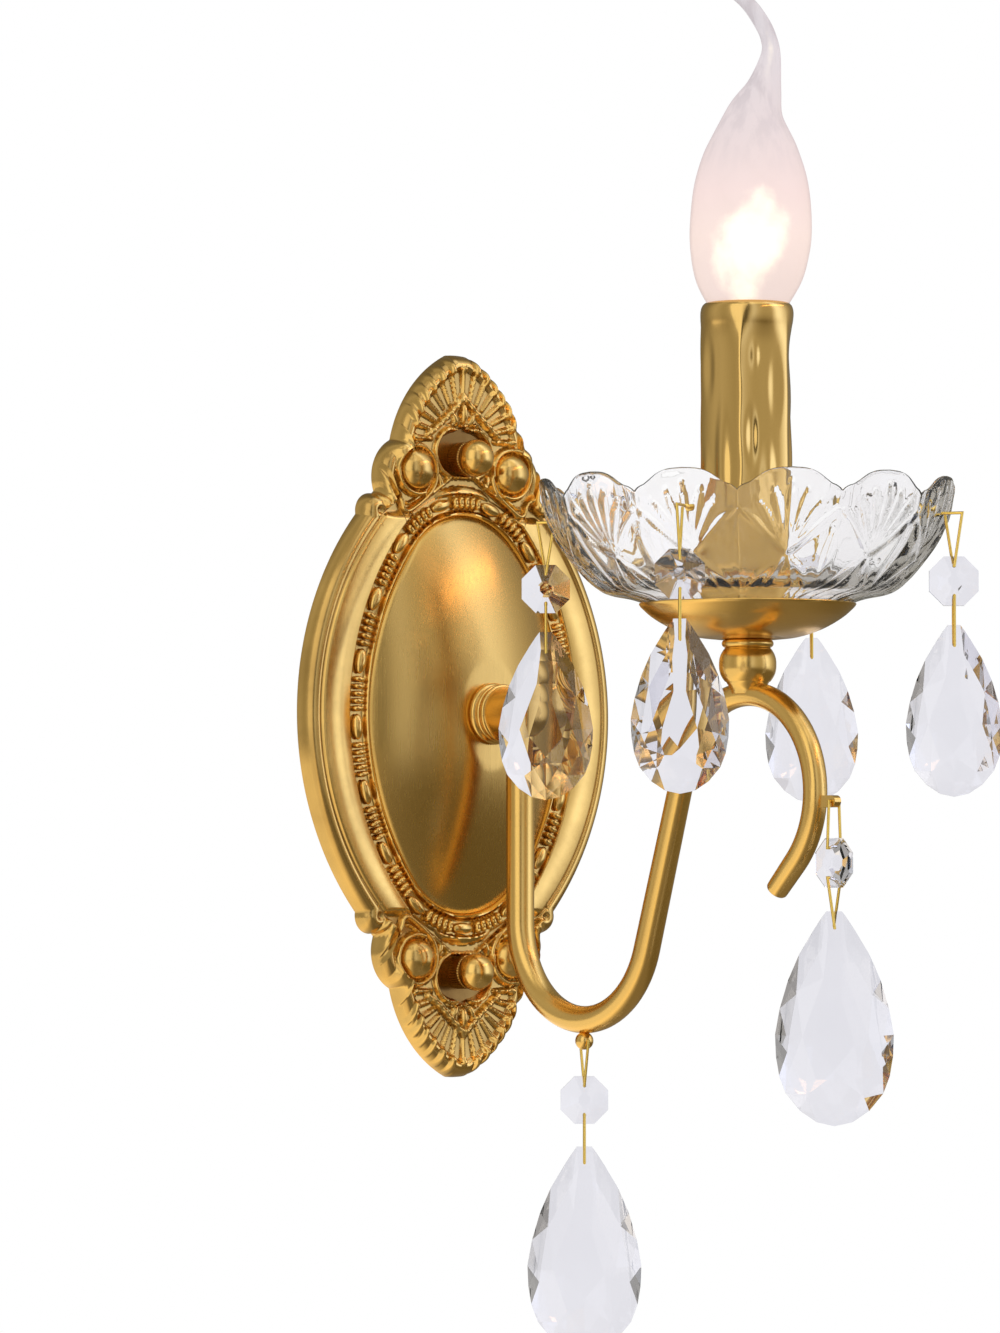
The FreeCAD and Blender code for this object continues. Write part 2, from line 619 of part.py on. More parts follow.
# --------------------------------------------------------------------------------------------
# What holds the backplate on the wall
# --------------------------------------------------------------------------------------------
def wall_bracket():
    """A round-ended crossbar with a wire hole, two stud holes, two slots and an earth hole."""
    body = doc.addObject("PartDesign::Body", "Body_wall_bracket")
    body.Label = "wall_bracket"
    outline = new_sketch(body, "Bar", "XZ_Plane")
    end = "0.5*bracket_length - 0.5*bracket_width"
    draw_outline(outline, [
        ("0.5*bracket_width", "0.5*bracket_width - 0.5*bracket_length"),
        ("0.5*bracket_width", end, "0.5*bracket_width", 1),
        ("-0.5*bracket_width", end),
        ("-0.5*bracket_width", "0.5*bracket_width - 0.5*bracket_length",
         "0.5*bracket_width", 1),
    ])
    bar = body.newObject("PartDesign::Pad", "Plate")
    bar.Profile = outline
    bar.setExpression("Length", bound("bracket_thickness"))
    doc.recompute()
    holes = new_sketch(body, "Holes", "XZ_Plane")
    for radius, height in (("wire_hole_radius", "0"), ("stud_radius", "nut_height"),
                           ("stud_radius", "-1*nut_height"),
                           ("earth_screw_radius", "-1*earth_screw_depth")):
        centre = Vector(0, measure(height), 0)
        index = holes.addGeometry(Part.Circle(centre, Z, measure(radius)), False)
        number = holes.addConstraint(Sketcher.Constraint("Radius", index, measure(radius)))
        holes.setExpression("Constraints[%d]" % number, bound(radius))
        holes.addConstraint(Sketcher.Constraint("PointOnObject", index, 3, -2))
        if height == "0":
            holes.addConstraint(Sketcher.Constraint("PointOnObject", index, 3, -1))
        else:
            number = holes.addConstraint(
                Sketcher.Constraint("DistanceY", -1, 1, index, 3, measure(height)))
            holes.setExpression("Constraints[%d]" % number, bound(height))
    half = "0.5*slot_length - slot_radius"
    for sign in ("", "-1*"):
        low = sign + "slot_centre - " + half.replace(" - ", " + ")
        high = sign + "slot_centre + " + half
        draw_outline(holes, [
            ("slot_radius", low),
            ("slot_radius", high, "slot_radius", 1),
            ("-1*slot_radius", high),
            ("-1*slot_radius", low, "slot_radius", 1),
        ])
    cut = body.newObject("PartDesign::Pocket", "Openings")
    cut.Profile = holes
    cut.Type = 1
    cut.Midplane = True
    body.Tip = cut
    pieces.append(body)
    return body


bracket = wall_bracket()

stud_group = []
for up, name in ((1, "Upper"), (-1, "Lower")):
    stud = doc.addObject("Part::Cylinder", name + "Stud")
    stud.setExpression("Radius", bound("stud_radius"))
    stud.setExpression("Height", bound("stud_length"))
    stud.Placement = from_wall("0", "%d*nut_height" % up)
    stud_group.append(stud)
studs = doc.addObject("Part::Compound", "Studs")
studs.Label = "bracket_studs"
studs.Links = stud_group
pieces.append(studs)

turned("earth_screw", [
    ("0", "0"),
    ("earth_screw_radius", "0"),
    ("earth_screw_radius", "bracket_thickness"),
    ("earth_head_radius", "bracket_thickness"),
    ("earth_head_radius", "bracket_thickness + 0.6*earth_head_height"),
    ("0.6*earth_head_radius", "bracket_thickness + earth_head_height"),
    ("0", "bracket_thickness + earth_head_height"),
], from_wall("0", "-1*earth_screw_depth"))

for name, up in (("ball_nut_upper", "nut_height"), ("ball_nut_lower", "-1*nut_height")):
    ball = "nut_top - recess_floor - nut_collar_length"
    turned(name, [
        ("stud_radius + thread_clearance", "0"),
        ("nut_collar_radius", "0"),
        ("nut_collar_radius", "nut_collar_length"),
        ("nut_neck_radius", "nut_collar_length"),
        ("0.9*nut_ball_radius", "nut_collar_length + 0.18*nut_top"),
        ("0.9*nut_ball_radius", "nut_top - recess_floor - 0.18*nut_top"),
        ("nut_tip_radius", "nut_top - recess_floor"),
        ("0", "nut_top - recess_floor"),
        ("0", "stud_length - recess_floor + 2*stud_hole_clearance"),
        ("stud_radius + thread_clearance", "stud_length - recess_floor + 2*stud_hole_clearance"),
    ], from_wall("recess_floor", up))


# --------------------------------------------------------------------------------------------
# Hub: turned collar on the dome's seat, clamped from behind by a hollow nipple
# --------------------------------------------------------------------------------------------
groove_radius = "hub_bead_radius - 0.7*hub_groove"
second = "hub_ring_length + hub_groove"
third = "hub_ring_length + 2*hub_groove + hub_bead_length"
last = "hub_ring_length + 2*hub_groove + 2*hub_bead_length"
hub_turning = turned("hub_turning", [
    ("nipple_radius", "0"),
    ("hub_ring_radius - 0.3*hub_ring_length", "0"),
    ("hub_ring_radius", "0.3*hub_ring_length"),
    ("hub_ring_radius", "hub_ring_length"),
    (groove_radius, "hub_ring_length"),
    (groove_radius, second),
    ("hub_bead_radius", second),
    ("hub_bead_radius", second + " + hub_bead_length"),
    (groove_radius, second + " + hub_bead_length"),
    (groove_radius, third),
    ("hub_bead_radius", third),
    ("hub_bead_radius", last),
    (groove_radius, last),
    (groove_radius, last + " + hub_groove"),
    ("hub_radius", last + " + hub_groove"),
    ("hub_radius", "hub_nose_start"),
    ("0.5*hub_radius + 0.5*hub_tip_radius + 0.2*hub_radius",
     "0.45*hub_nose_start + 0.55*hub_length"),
    ("hub_tip_radius", "hub_length"),
    ("0", "hub_length"),
    ("0", "hub_bore_depth"),
    ("nipple_radius", "hub_bore_depth"),
], from_wall("seat_height"), kept=False)
hub_way = doc.addObject("Part::Cylinder", "ArmSocket")
hub_way.setExpression("Radius", bound("arm_radius"))
hub_way.setExpression("Height", bound("2*hub_ring_radius"))
hub_way.Placement = Placement(Vector(0, -size["arm_reach"], -size["arm_start"]), Rotation(X, 180))
wire_way = doc.addObject("Part::Cylinder", "WireWay")
wire_way.setExpression("Radius", bound("arm_radius - arm_wall"))
wire_way.setExpression("Height", bound("arm_start + nipple_bore"))
wire_way.Placement = Placement(Vector(0, -size["arm_reach"], -size["arm_start"]), Rotation())
hub_holes = doc.addObject("Part::Fuse", "HubHoles")
hub_holes.Base = hub_way
hub_holes.Tool = wire_way
hub = doc.addObject("Part::Cut", "HubCollar")
hub.Label = "hub_collar"
hub.Base = hub_turning
hub.Tool = hub_holes
pieces.append(hub)

tube("hub_nipple", "nipple_bore", "nipple_radius", "nipple_tail + cast_wall + 0.8*hub_bore_depth",
     from_wall("seat_height - cast_wall - nipple_tail"))
tube("hub_washer", "nipple_radius", "hub_washer_radius", "hub_washer_thickness",
     from_wall("seat_height - cast_wall - hub_washer_thickness"))

nut_blank = doc.addObject("Part::Prism", "LockNutBlank")
nut_blank.Polygon = 6
nut_blank.setExpression("Circumradius", bound("hub_nut_flats") + " / sqrt(3)")
nut_blank.setExpression("Height", bound("hub_nut_height"))
nut_bore = doc.addObject("Part::Cylinder", "LockNutBore")
nut_bore.setExpression("Radius", bound("nipple_radius"))
nut_bore.setExpression("Height", bound("hub_nut_height"))
lock_nut = doc.addObject("Part::Cut", "LockNut")
lock_nut.Label = "hub_lock_nut"
lock_nut.Base = nut_blank
lock_nut.Tool = nut_bore
lock_nut.Placement = from_wall("seat_height - cast_wall - hub_washer_thickness - hub_nut_height")
pieces.append(lock_nut)


# --------------------------------------------------------------------------------------------
# Arm: straight leg, U, leaning riser, crest and hook, all in the plane X = 0
# --------------------------------------------------------------------------------------------
def arm_route():
    """The centre line's joints and bend centres, worked out from the two bends."""
    first = Vector(0, -(size["arm_reach"] + size["bend_radius"]), -size["bend_depth"])
    second = Vector(0, -size["candle_reach"], size["crest_top"] - size["hook_radius"])
    span = second - first
    slope = math.atan2(span.z, -span.y)
    swing = math.asin((size["bend_radius"] + size["hook_radius"]) / span.Length)
    lean = math.pi / 2 - slope - swing
    out = Vector(0, -math.cos(lean), -math.sin(lean))
    riser_foot = first + out * size["bend_radius"]
    riser_head = second - out * size["hook_radius"]
    turn = math.radians(size["hook_turn"])
    hook_end = second + Vector(0, -math.cos(turn), -math.sin(turn)) * size["hook_radius"]
    tail = Vector(0, math.sin(turn), -math.cos(turn))
    return first, second, lean, riser_foot, riser_head, hook_end, tail


def ring_at(spot, way, radius):
    """A circle square to the arm's way, which lies in the plane X = 0."""
    ring = Part.Wire(Part.makeCircle(radius))
    ring.Placement = Placement(spot, Rotation(X, math.degrees(math.atan2(-way.y, way.z))))
    return ring


def arm_solid(less, end_gap):
    """The tube as a solid rod, thinner by less, that stops a gap before its free end."""
    first, second, lean, riser_foot, riser_head, hook_end, tail = arm_route()
    root = size["arm_radius"] - less
    low = size["arm_bend_radius"] - less
    high = size["arm_crest_radius"] - less
    tip = size["arm_end_radius"] - less
    leg = Vector(0, -size["arm_reach"], 0)
    rings = [ring_at(leg - Z * size["arm_start"], -Z, root),
             ring_at(leg - Z * 2 * size["hub_ring_radius"], -Z, root)]
    steps = int(size["bend_steps"])
    for step in range(steps + 1):
        angle = (math.pi - lean) * step / steps
        out = Vector(0, math.cos(angle), -math.sin(angle))
        way = Vector(0, -math.sin(angle), -math.cos(angle))
        rings.append(ring_at(first + out * size["bend_radius"], way, low))
    sweep = math.pi - lean + math.radians(size["hook_turn"])
    for step in range(steps + 1):
        angle = lean + sweep * step / steps
        out = Vector(0, math.cos(angle), math.sin(angle))
        way = Vector(0, -math.sin(angle), math.cos(angle))
        rings.append(ring_at(second + out * size["hook_radius"], way, high))
    rings.append(ring_at(hook_end + tail * (size["hook_tail"] - end_gap), tail, tip))
    return Part.makeLoft(rings, True, True)


crest_height = size["crest_top"]
hook_end = arm_route()[5]
hook_way = arm_route()[6]
arm_outside = arm_solid(0.0, 0.0)
arm_inside = arm_solid(size["arm_wall"], 2 * size["arm_wall"])
wire_exit = rod(Vector(0, -size["candle_reach"], crest_height),
                Vector(0, -size["candle_reach"], crest_height + 2 * size["arm_crest_radius"]),
                size["wire_way_radius"])
arm_shape = arm_outside.cut(arm_inside).cut(wire_exit)
shaped("arm_tube", arm_shape)

# eye ball under the U
eye_centre = Vector(0, -(size["arm_reach"] + size["bend_radius"]),
                    -(size["bend_depth"] + size["bend_radius"] + size["arm_bend_radius"]
                      + 0.82 * size["eye_radius"]))
hole_radius = size["wire_radius"] + size["wire_clearance"]
eye_way = direction(-size["eye_turn"])
half_ball = size["eye_radius"]
end_ball = size["eye_end_radius"]
eye_profile = [Vector(0, 0, -half_ball), Vector(end_ball, 0, -half_ball),
               Vector(half_ball, 0, -end_ball), Vector(half_ball, 0, end_ball),
               Vector(end_ball, 0, half_ball), Vector(0, 0, half_ball),
               Vector(0, 0, -half_ball)]
eye = Part.Face(Part.makePolygon(eye_profile)).revolve(ORIGIN, Z, 360)
eye.translate(eye_centre)
eye = eye.cut(arm_outside)
eye = eye.cut(rod(eye_centre - eye_way * 2 * size["eye_radius"],
                  eye_centre + eye_way * 2 * size["eye_radius"], hole_radius))
shaped("eye_ball", eye)

# tab on the outside of the hook
tab_root = size["candle_reach"] + size["hook_radius"] + size["arm_crest_radius"]
tab_level = crest_height - size["hook_radius"] - size["tab_drop"]
tab_pin = Vector(0, -(tab_root + size["tab_length"] - size["tab_height"] / 2), tab_level)
tab = Part.makeBox(size["tab_width"], -tab_pin.y - tab_root + 2 * size["arm_wall"],
                   size["tab_height"],
                   Vector(-size["tab_width"] / 2, tab_pin.y, tab_level - size["tab_height"] / 2))
tab_eye_start = tab_pin - X * size["tab_width"] * 0.5
tab = tab.fuse(Part.makeCylinder(size["tab_height"] / 2, size["tab_width"], tab_eye_start, X))
tab = tab.cut(arm_outside).cut(rod(tab_pin - X * size["tab_width"],
                                   tab_pin + X * size["tab_width"], hole_radius))
shaped("hook_tab", tab.removeSplitter())

# saddle brazed on the crest
saddle_foot = Vector(0, -size["candle_reach"], crest_height)
saddle_top = crest_height + size["arm_crest_radius"] + size["saddle_rise"]
saddle = Part.makeCylinder(size["saddle_radius"], saddle_top - crest_height, saddle_foot, Z)
saddle = saddle.cut(arm_outside)
saddle = saddle.cut(Part.makeCylinder(size["wire_way_radius"], saddle_top, saddle_foot, Z))
shaped("arm_saddle", saddle)


# --------------------------------------------------------------------------------------------
# Neck, cup, glass dish and what clamps them on the candle nipple
# --------------------------------------------------------------------------------------------
neck_level = saddle_top
ring_level = neck_level + size["neck_ball_height"]
cup_level = ring_level + size["neck_ring_height"]
washer_level = cup_level + size["cup_wall"]
glass_level = washer_level + size["dish_washer_thickness"]
rim_level = cup_level + size["cup_depth"]
glass_floor = glass_level + size["dish_wall"]
clamp_level = glass_floor + size["dish_washer_thickness"]
stem_level = clamp_level + size["dish_nut_height"]
sleeve_top = glass_floor + size["sleeve_height"]
holder_top = sleeve_top - size["holder_setback"]
holder_level = holder_top - size["holder_length"]
bulb_level = holder_top - size["bulb_base_length"]

turned("neck_ball", [("candle_nipple_radius", "0")]
       + bulging("neck_ball_end", "neck_ball_radius", "0", "neck_ball_height", 0.45)
       + [("candle_nipple_radius", "neck_ball_height")], on_candle(neck_level))
turned("neck_ring", [("candle_nipple_radius", "0")]
       + bulging("neck_ring_end", "neck_ring_radius", "0", "neck_ring_height", 0.0, 3)
       + [("candle_nipple_radius", "neck_ring_height")], on_candle(ring_level))
turned("cup", [
    ("candle_nipple_radius", "0"),
    ("cup_foot_radius", "0"),
    ("0.66*cup_foot_radius + 0.34*cup_radius + 0.4*cup_bow", "0.33*cup_depth - 0.8*cup_bow"),
    ("0.34*cup_foot_radius + 0.66*cup_radius + 0.4*cup_bow", "0.66*cup_depth - 0.8*cup_bow"),
    ("cup_radius", "cup_depth"),
    ("cup_radius - cup_wall", "cup_depth"),
    ("0.34*cup_foot_radius + 0.66*cup_radius + 0.4*cup_bow - 0.5*cup_wall",
     "0.66*cup_depth - 0.8*cup_bow + 0.9*cup_wall"),
    ("0.66*cup_foot_radius + 0.34*cup_radius + 0.4*cup_bow - 0.3*cup_wall",
     "0.33*cup_depth - 0.8*cup_bow + cup_wall"),
    ("cup_foot_radius", "cup_wall"),
    ("candle_nipple_radius", "cup_wall"),
], on_candle(cup_level))

nipple_length = stem_level + size["nipple_engagement"] - neck_level
nipple = doc.addObject("Part::Cylinder", "NippleBar")
nipple.setExpression("Radius", bound("candle_nipple_radius"))
nipple.Height = nipple_length
nipple_bore = doc.addObject("Part::Cylinder", "NippleBore")
nipple_bore.setExpression("Radius", bound("candle_nipple_bore"))
nipple_bore.Height = nipple_length
candle_nipple = doc.addObject("Part::Cut", "CandleNipple")
candle_nipple.Label = "candle_nipple"
candle_nipple.Base = nipple
candle_nipple.Tool = nipple_bore
candle_nipple.Placement = on_candle(neck_level)
pieces.append(candle_nipple)

tube("dish_washer_lower", "candle_nipple_radius", "dish_washer_radius", "dish_washer_thickness",
     on_candle(washer_level))
tube("dish_washer_upper", "candle_nipple_radius", "dish_washer_radius", "dish_washer_thickness",
     on_candle(glass_floor))
tube("dish_nut", "candle_nipple_radius", "dish_nut_radius", "dish_nut_height",
     on_candle(clamp_level))


def lobed_outline(radius, level):
    """Corners of an outline of round lobes, each of a few flats. All sizes share one shape."""
    lobes = int(size["dish_scallops"])
    flats = int(size["lobe_flats"])
    step = 360.0 / (lobes * flats)
    centre = Vector(0, -size["candle_reach"], level)
    corners = []
    for place in range(lobes * flats):
        share = (place % flats) / flats
        dip = size["flute_depth"] * (2 * share - 1) ** 2 / size["dish_radius"]
        turn = size["dish_turn"] + (place - flats / 2) * step
        corners.append(centre + direction(turn) * radius * (1 - dip))
    return corners


def dish_profile():
    """Lobe radius and height of the dish's outside, from the floor to the brim."""
    return [
        (size["dish_floor_radius"], glass_level),
        (size["dish_lap_radius"], rim_level + size["dish_lap"]),
        (size["dish_shelf_radius"], rim_level + size["dish_shelf_rise"]),
        (size["dish_side_radius"], rim_level + size["dish_side_rise"]),
        (size["dish_brim_radius"], rim_level + size["dish_brim_rise"]),
        (size["dish_radius"], rim_level + size["dish_rise"]),
    ]


def offset_inward(profile, distance):
    """The same profile moved inward by the wall, square to its slope at each point."""
    moved = []
    for place, (radius, level) in enumerate(profile):
        before = profile[max(place - 1, 0)]
        after = profile[min(place + 1, len(profile) - 1)]
        way = Vector(after[0] - before[0], 0, after[1] - before[1]).normalize()
        moved.append((radius - way.z * distance, level + way.x * distance))
    return moved


def facetted(outlines):
    """A solid with flat facets between outlines that are scaled copies of each other."""
    faces = [Part.Face(Part.makePolygon(outlines[0] + [outlines[0][0]])),
             Part.Face(Part.makePolygon(outlines[-1] + [outlines[-1][0]]))]
    count = len(outlines[0])
    for low, high in zip(outlines, outlines[1:]):
        for place in range(count):
            after = (place + 1) % count
            faces.append(Part.Face(Part.makePolygon(
                [low[place], low[after], high[after], high[place], low[place]])))
    return Part.Solid(Part.Shell(faces))


def glass_dish():
    """A fluted bowl with a scalloped brim, a floor hole and four pendant holes."""
    outside = dish_profile()
    inside = offset_inward(outside, size["dish_wall"])
    inside[0] = (size["sleeve_radius"] + size["sleeve_seat_gap"], glass_floor)
    inside[-1] = (inside[-1][0], outside[-1][1] + size["dish_wall"])
    bowl = facetted([lobed_outline(*ring) for ring in outside])
    bowl = bowl.cut(facetted([lobed_outline(*ring) for ring in inside]))
    lobes = int(size["dish_scallops"])
    axis = Vector(0, -size["candle_reach"], 0)
    top = rim_level + size["dish_rise"]
    half_lobe = size["dish_radius"] * math.sin(math.pi / lobes)
    arch = (half_lobe ** 2 + size["scallop_depth"] ** 2) / (2 * size["scallop_depth"])
    collar = Part.makeCylinder(size["dish_radius"] * 1.2, 2 * size["scallop_depth"],
                               axis + Z * (top - size["scallop_depth"]), Z)
    for lobe in range(lobes // 2):
        way = direction(size["dish_turn"] + lobe * 360.0 / lobes)
        middle = axis + Z * (top - arch)
        reach = way * size["dish_radius"] * 1.3
        collar = collar.cut(rod(middle - reach, middle + reach, arch))
    bowl = bowl.cut(collar)
    bore = size["candle_nipple_radius"] + size["dish_bore_clearance"]
    bowl = bowl.cut(Part.makeCylinder(bore, size["dish_rise"], axis + Z * (glass_level - 1), Z))
    for turn, start in pendant_starts():
        bowl = bowl.cut(rod(start - direction(turn) * size["dish_radius"] / 4,
                            start + direction(turn) * size["dish_radius"] / 4, hole_radius))
    return bowl


def glass_radius(level):
    """Radius of the dish's outside at a lobe's middle."""
    outside = dish_profile()
    for low, high in zip(outside, outside[1:]):
        if low[1] <= level <= high[1]:
            share = (level - low[1]) / (high[1] - low[1])
            return low[0] + share * (high[0] - low[0])
    return size["dish_radius"]


def pendant_starts():
    """Direction of each dish pendant, and the place where its hole leaves the glass."""
    level = rim_level + size["pendant_hole_rise"]
    starts = []
    for place in range(int(size["pendants"])):
        turn = size["dish_turn"] + place * 360.0 / size["pendants"]
        starts.append((turn, Vector(0, -size["candle_reach"], level)
                       + direction(turn) * glass_radius(level)))
    return starts


shaped("glass_dish", glass_dish())


# --------------------------------------------------------------------------------------------
# Candle: sleeve, lampholder and bulb
# --------------------------------------------------------------------------------------------
turned("candle_sleeve", [
    ("sleeve_radius - sleeve_wall", "0"),
    ("sleeve_radius", "0"),
    ("sleeve_radius", "sleeve_height - sleeve_lip_height"),
    ("sleeve_radius + sleeve_lip", "sleeve_height - 0.6*sleeve_lip_height"),
    ("sleeve_radius + sleeve_lip", "sleeve_height - 0.3*sleeve_lip_height"),
    ("sleeve_radius - 0.4*sleeve_wall", "sleeve_height"),
    ("sleeve_radius - sleeve_wall", "sleeve_height"),
], on_candle(glass_floor))

stem = doc.addObject("Part::Cylinder", "StemBar")
stem.setExpression("Radius", bound("candle_nipple_radius + stem_wall"))
stem.Height = holder_level - stem_level
stem_bore = doc.addObject("Part::Cylinder", "StemBore")
stem_bore.setExpression("Radius", bound("candle_nipple_radius"))
stem_bore.Height = holder_level - stem_level
lampholder_stem = doc.addObject("Part::Cut", "LampholderStem")
lampholder_stem.Label = "lampholder_stem"
lampholder_stem.Base = stem
lampholder_stem.Tool = stem_bore
lampholder_stem.Placement = on_candle(stem_level)
pieces.append(lampholder_stem)

shell_outside = "bulb_base_radius + thread_clearance + shell_wall"
turned("lampholder_body", [
    ("candle_nipple_bore", "0"),
    (shell_outside + " + holder_wall", "0"),
    (shell_outside + " + holder_wall", "holder_length"),
    (shell_outside, "holder_length"),
    (shell_outside, "holder_floor"),
    ("candle_nipple_bore", "holder_floor"),
], on_candle(holder_level))
tube("lampholder_shell", "bulb_base_radius + thread_clearance", shell_outside, "shell_length",
     on_candle(holder_top - size["shell_length"]))
turned("lampholder_contact", [
    ("0", "0"),
    ("contact_flange", "0"),
    ("contact_flange", "contact_foot"),
    ("contact_radius", "contact_foot"),
    ("contact_radius", "holder_length - holder_floor - bulb_base_length - bulb_contact_height"),
    ("0", "holder_length - holder_floor - bulb_base_length - bulb_contact_height"),
], on_candle(holder_level + size["holder_floor"]))

turned("bulb_base", [
    ("bulb_contact_radius", "0"),
    ("0.7*bulb_base_radius", "0"),
    ("bulb_base_radius", "0.12*bulb_base_length"),
    ("bulb_base_radius", "bulb_base_length"),
    ("bulb_base_radius - bulb_base_wall", "bulb_base_length"),
    ("bulb_base_radius - bulb_base_wall", "0.2*bulb_base_length"),
    ("bulb_contact_radius", "0.2*bulb_base_length"),
], on_candle(bulb_level))
turned("bulb_contact", [
    ("0", "-1*bulb_contact_height"),
    ("0.6*bulb_contact_radius", "-1*bulb_contact_height"),
    ("bulb_contact_radius", "-0.5*bulb_contact_height"),
    ("bulb_contact_radius", "0.2*bulb_base_length"),
    ("0", "0.2*bulb_base_length"),
], on_candle(bulb_level))


def flame(less, tip_sections):
    """The bulb's glass as a solid: a turned belly and a tip that bends to the side."""
    length = size["bulb_length"]
    belly = size["bulb_radius"]
    neck = size["bulb_neck_radius"]
    tip = size["bulb_tip_radius"]
    foot = Vector(0, -size["candle_reach"], holder_top)
    profile = [(neck, 0.0), (0.87 * belly, 0.135), (belly, 0.26), (belly, 0.33),
               (0.80 * belly, 0.485), (0.51 * belly, 0.60)]
    corners = [Vector(radius - less, 0, share * length) for radius, share in profile]
    corners = [ORIGIN] + corners + [Vector(0, 0, corners[-1].z), ORIGIN]
    glass = Part.Face(Part.makePolygon(corners)).revolve(ORIGIN, Z, 360)
    glass.translate(foot)
    if tip_sections == 0:
        return glass
    bends = [(0.51 * belly, 0.60, 0.0), (2.0 * tip, 0.69, 0.50), (tip, 0.78, 1.0),
             (tip, 0.88, 0.55), (0.6 * tip, 1.0, -1.0)]
    rings = []
    for radius, share, shift in bends[:tip_sections]:
        spot = foot + Z * share * length + side_of_view * shift * size["bulb_tip_bend"]
        rings.append(Part.Wire(Part.makeCircle(radius - less, spot, Z)))
    return glass.fuse(Part.makeLoft(rings, True, True))


side_of_view = direction(90.0 - size["view_turn"])
bulb_glass = flame(0.0, 5).cut(flame(size["bulb_glass_wall"], 0))
shaped("bulb_glass", bulb_glass)

stem_foot = Vector(0, -size["candle_reach"], holder_top)
stem_head = stem_foot + Z * size["bulb_stem_height"]
flange = Part.makeCylinder(size["bulb_neck_radius"] - size["bulb_glass_wall"],
                           size["bulb_flange_height"], stem_foot, Z)
bulb_stem = flange.fuse(rod(stem_foot, stem_head, size["bulb_stem_radius"]))
shaped("bulb_stem", bulb_stem)

support_ends = []
filament_rods = []
for side_way in (1, -1):
    foot = stem_head + side_of_view * side_way * size["bulb_stem_radius"] * 0.6
    end = (stem_head + side_of_view * side_way * size["support_spread"]
           + Z * size["support_height"])
    support_ends.append(end)
    filament_rods.append(rod(foot, end, size["support_radius"]))
peak = stem_head + Z * (1.5 * size["support_height"])
for end in support_ends:
    filament_rods.append(rod(end, peak, size["support_radius"]))
shaped("bulb_filament", filament_rods[0].multiFuse(filament_rods[1:]))


# --------------------------------------------------------------------------------------------
# Crystals and their wires
# --------------------------------------------------------------------------------------------
def octagon():
    """A cut octagon: eight facets rise to a small table on both faces; a hole near two flats."""
    across_flats = size["octagon_width"]
    half_edge = size["octagon_edge"] / 2
    slope = math.radians(size["octagon_slope"])
    peak = across_flats / 2 * math.tan(slope)
    table = half_edge + peak * size["octagon_table"]
    stone = Part.makeBox(across_flats, 2 * table, across_flats,
                         Vector(-across_flats / 2, -table, -across_flats / 2))
    planes = []
    for step in range(8):
        angle = math.radians(45 * step)
        level = Vector(math.cos(angle), 0, math.sin(angle))
        if step % 2:
            planes.append((level * (across_flats / 2), level))
        for face in (1, -1):
            normal = level * math.sin(slope) + Y * face * math.cos(slope)
            planes.append((level * (across_flats / 2) + Y * face * half_edge, normal))
    stone = trimmed(stone, planes)
    for up in (1, -1):
        spot = Z * up * (across_flats / 2 - size["octagon_hole_inset"])
        stone = stone.cut(rod(spot - Y * across_flats, spot + Y * across_flats, hole_radius))
    return stone


def drop(height, width):
    """A cut pear drop, hung from its top at the origin: facets rise from each edge to a table."""
    count = int(size["drop_facets"])
    point = size["drop_point"]
    first = math.radians(16.0)
    outline = []
    for step in range(count + 1):
        angle = first + (2 * math.pi - 2 * first) * step / count
        outline.append(Vector(math.sin(angle) * math.sin(angle / 2) ** point, 0,
                              -(1 - math.cos(angle)) / 2))
    widest = max(spot.x for spot in outline)
    highest = outline[0].z
    lowest = min(spot.z for spot in outline)
    scale_z = height / (highest - lowest)
    corners = [Vector(spot.x / widest * width / 2, 0, (spot.z - highest) * scale_z)
               for spot in outline]
    half_edge = size["drop_edge"] / 2
    peak_height = width * size["drop_share"] / 2
    belly = Vector(0, 0, -height * size["drop_belly"])
    table = half_edge + (peak_height - half_edge) * size["drop_table"]
    wire = Part.makePolygon(corners + [corners[0]])
    stone = Part.Face(wire).extrude(Y * 2 * table)
    stone.translate(Y * -table)
    planes = []
    for face in (1, -1):
        apex = belly + Y * face * peak_height
        for start, end in zip(corners, corners[1:] + [corners[0]]):
            low = start + Y * face * half_edge
            high = end + Y * face * half_edge
            normal = (high - low).cross(apex - low).normalize()
            if normal.y * face < 0:
                normal = normal * -1
            planes.append((low, normal))
        for place in range(1, count, 2):
            spot = corners[place]
            level = (spot - belly).normalize()
            steep = math.atan2(peak_height - half_edge, (spot - belly).Length) * 1.45
            normal = level * math.sin(steep) + Y * face * math.cos(steep)
            planes.append((spot + Y * face * half_edge, normal))
    stone = trimmed(stone, planes)
    spot = Z * -size["drop_hole_inset"]
    return stone.cut(rod(spot - Y * width, spot + Y * width, hole_radius))


def bent_wire(points, closed=True):
    """A wire of straight runs that meet in mitres. An open wire has flat ends."""
    radius = size["wire_radius"]
    count = len(points)
    ways = [(points[(place + 1) % count] - points[place]).normalize() for place in range(count)]
    runs = []
    for place in range(count if closed else count - 1):
        start = points[place]
        end = points[(place + 1) % count]
        planes = []
        if closed or place > 0:
            planes.append((start, (ways[place - 1] + ways[place]).normalize() * -1))
            start = start - ways[place] * 3 * radius
        if closed or place < count - 2:
            planes.append((end, (ways[place] + ways[(place + 1) % count]).normalize()))
            end = end + ways[place] * 3 * radius
        runs.append(trimmed(rod(start, end, radius), planes))
    return runs[0].multiFuse(runs[1:])


def loop(top, top_way, top_half, foot, foot_way, foot_half):
    """A wire through two holes: a pin at the top, a pin at the foot, and two legs."""
    return bent_wire([top - top_way * top_half, top + top_way * top_half,
                      foot + foot_way * foot_half, foot - foot_way * foot_half])


def half_thickness_of_octagon():
    return (size["octagon_edge"] / 2
            + size["octagon_hole_inset"] * math.tan(math.radians(size["octagon_slope"])))


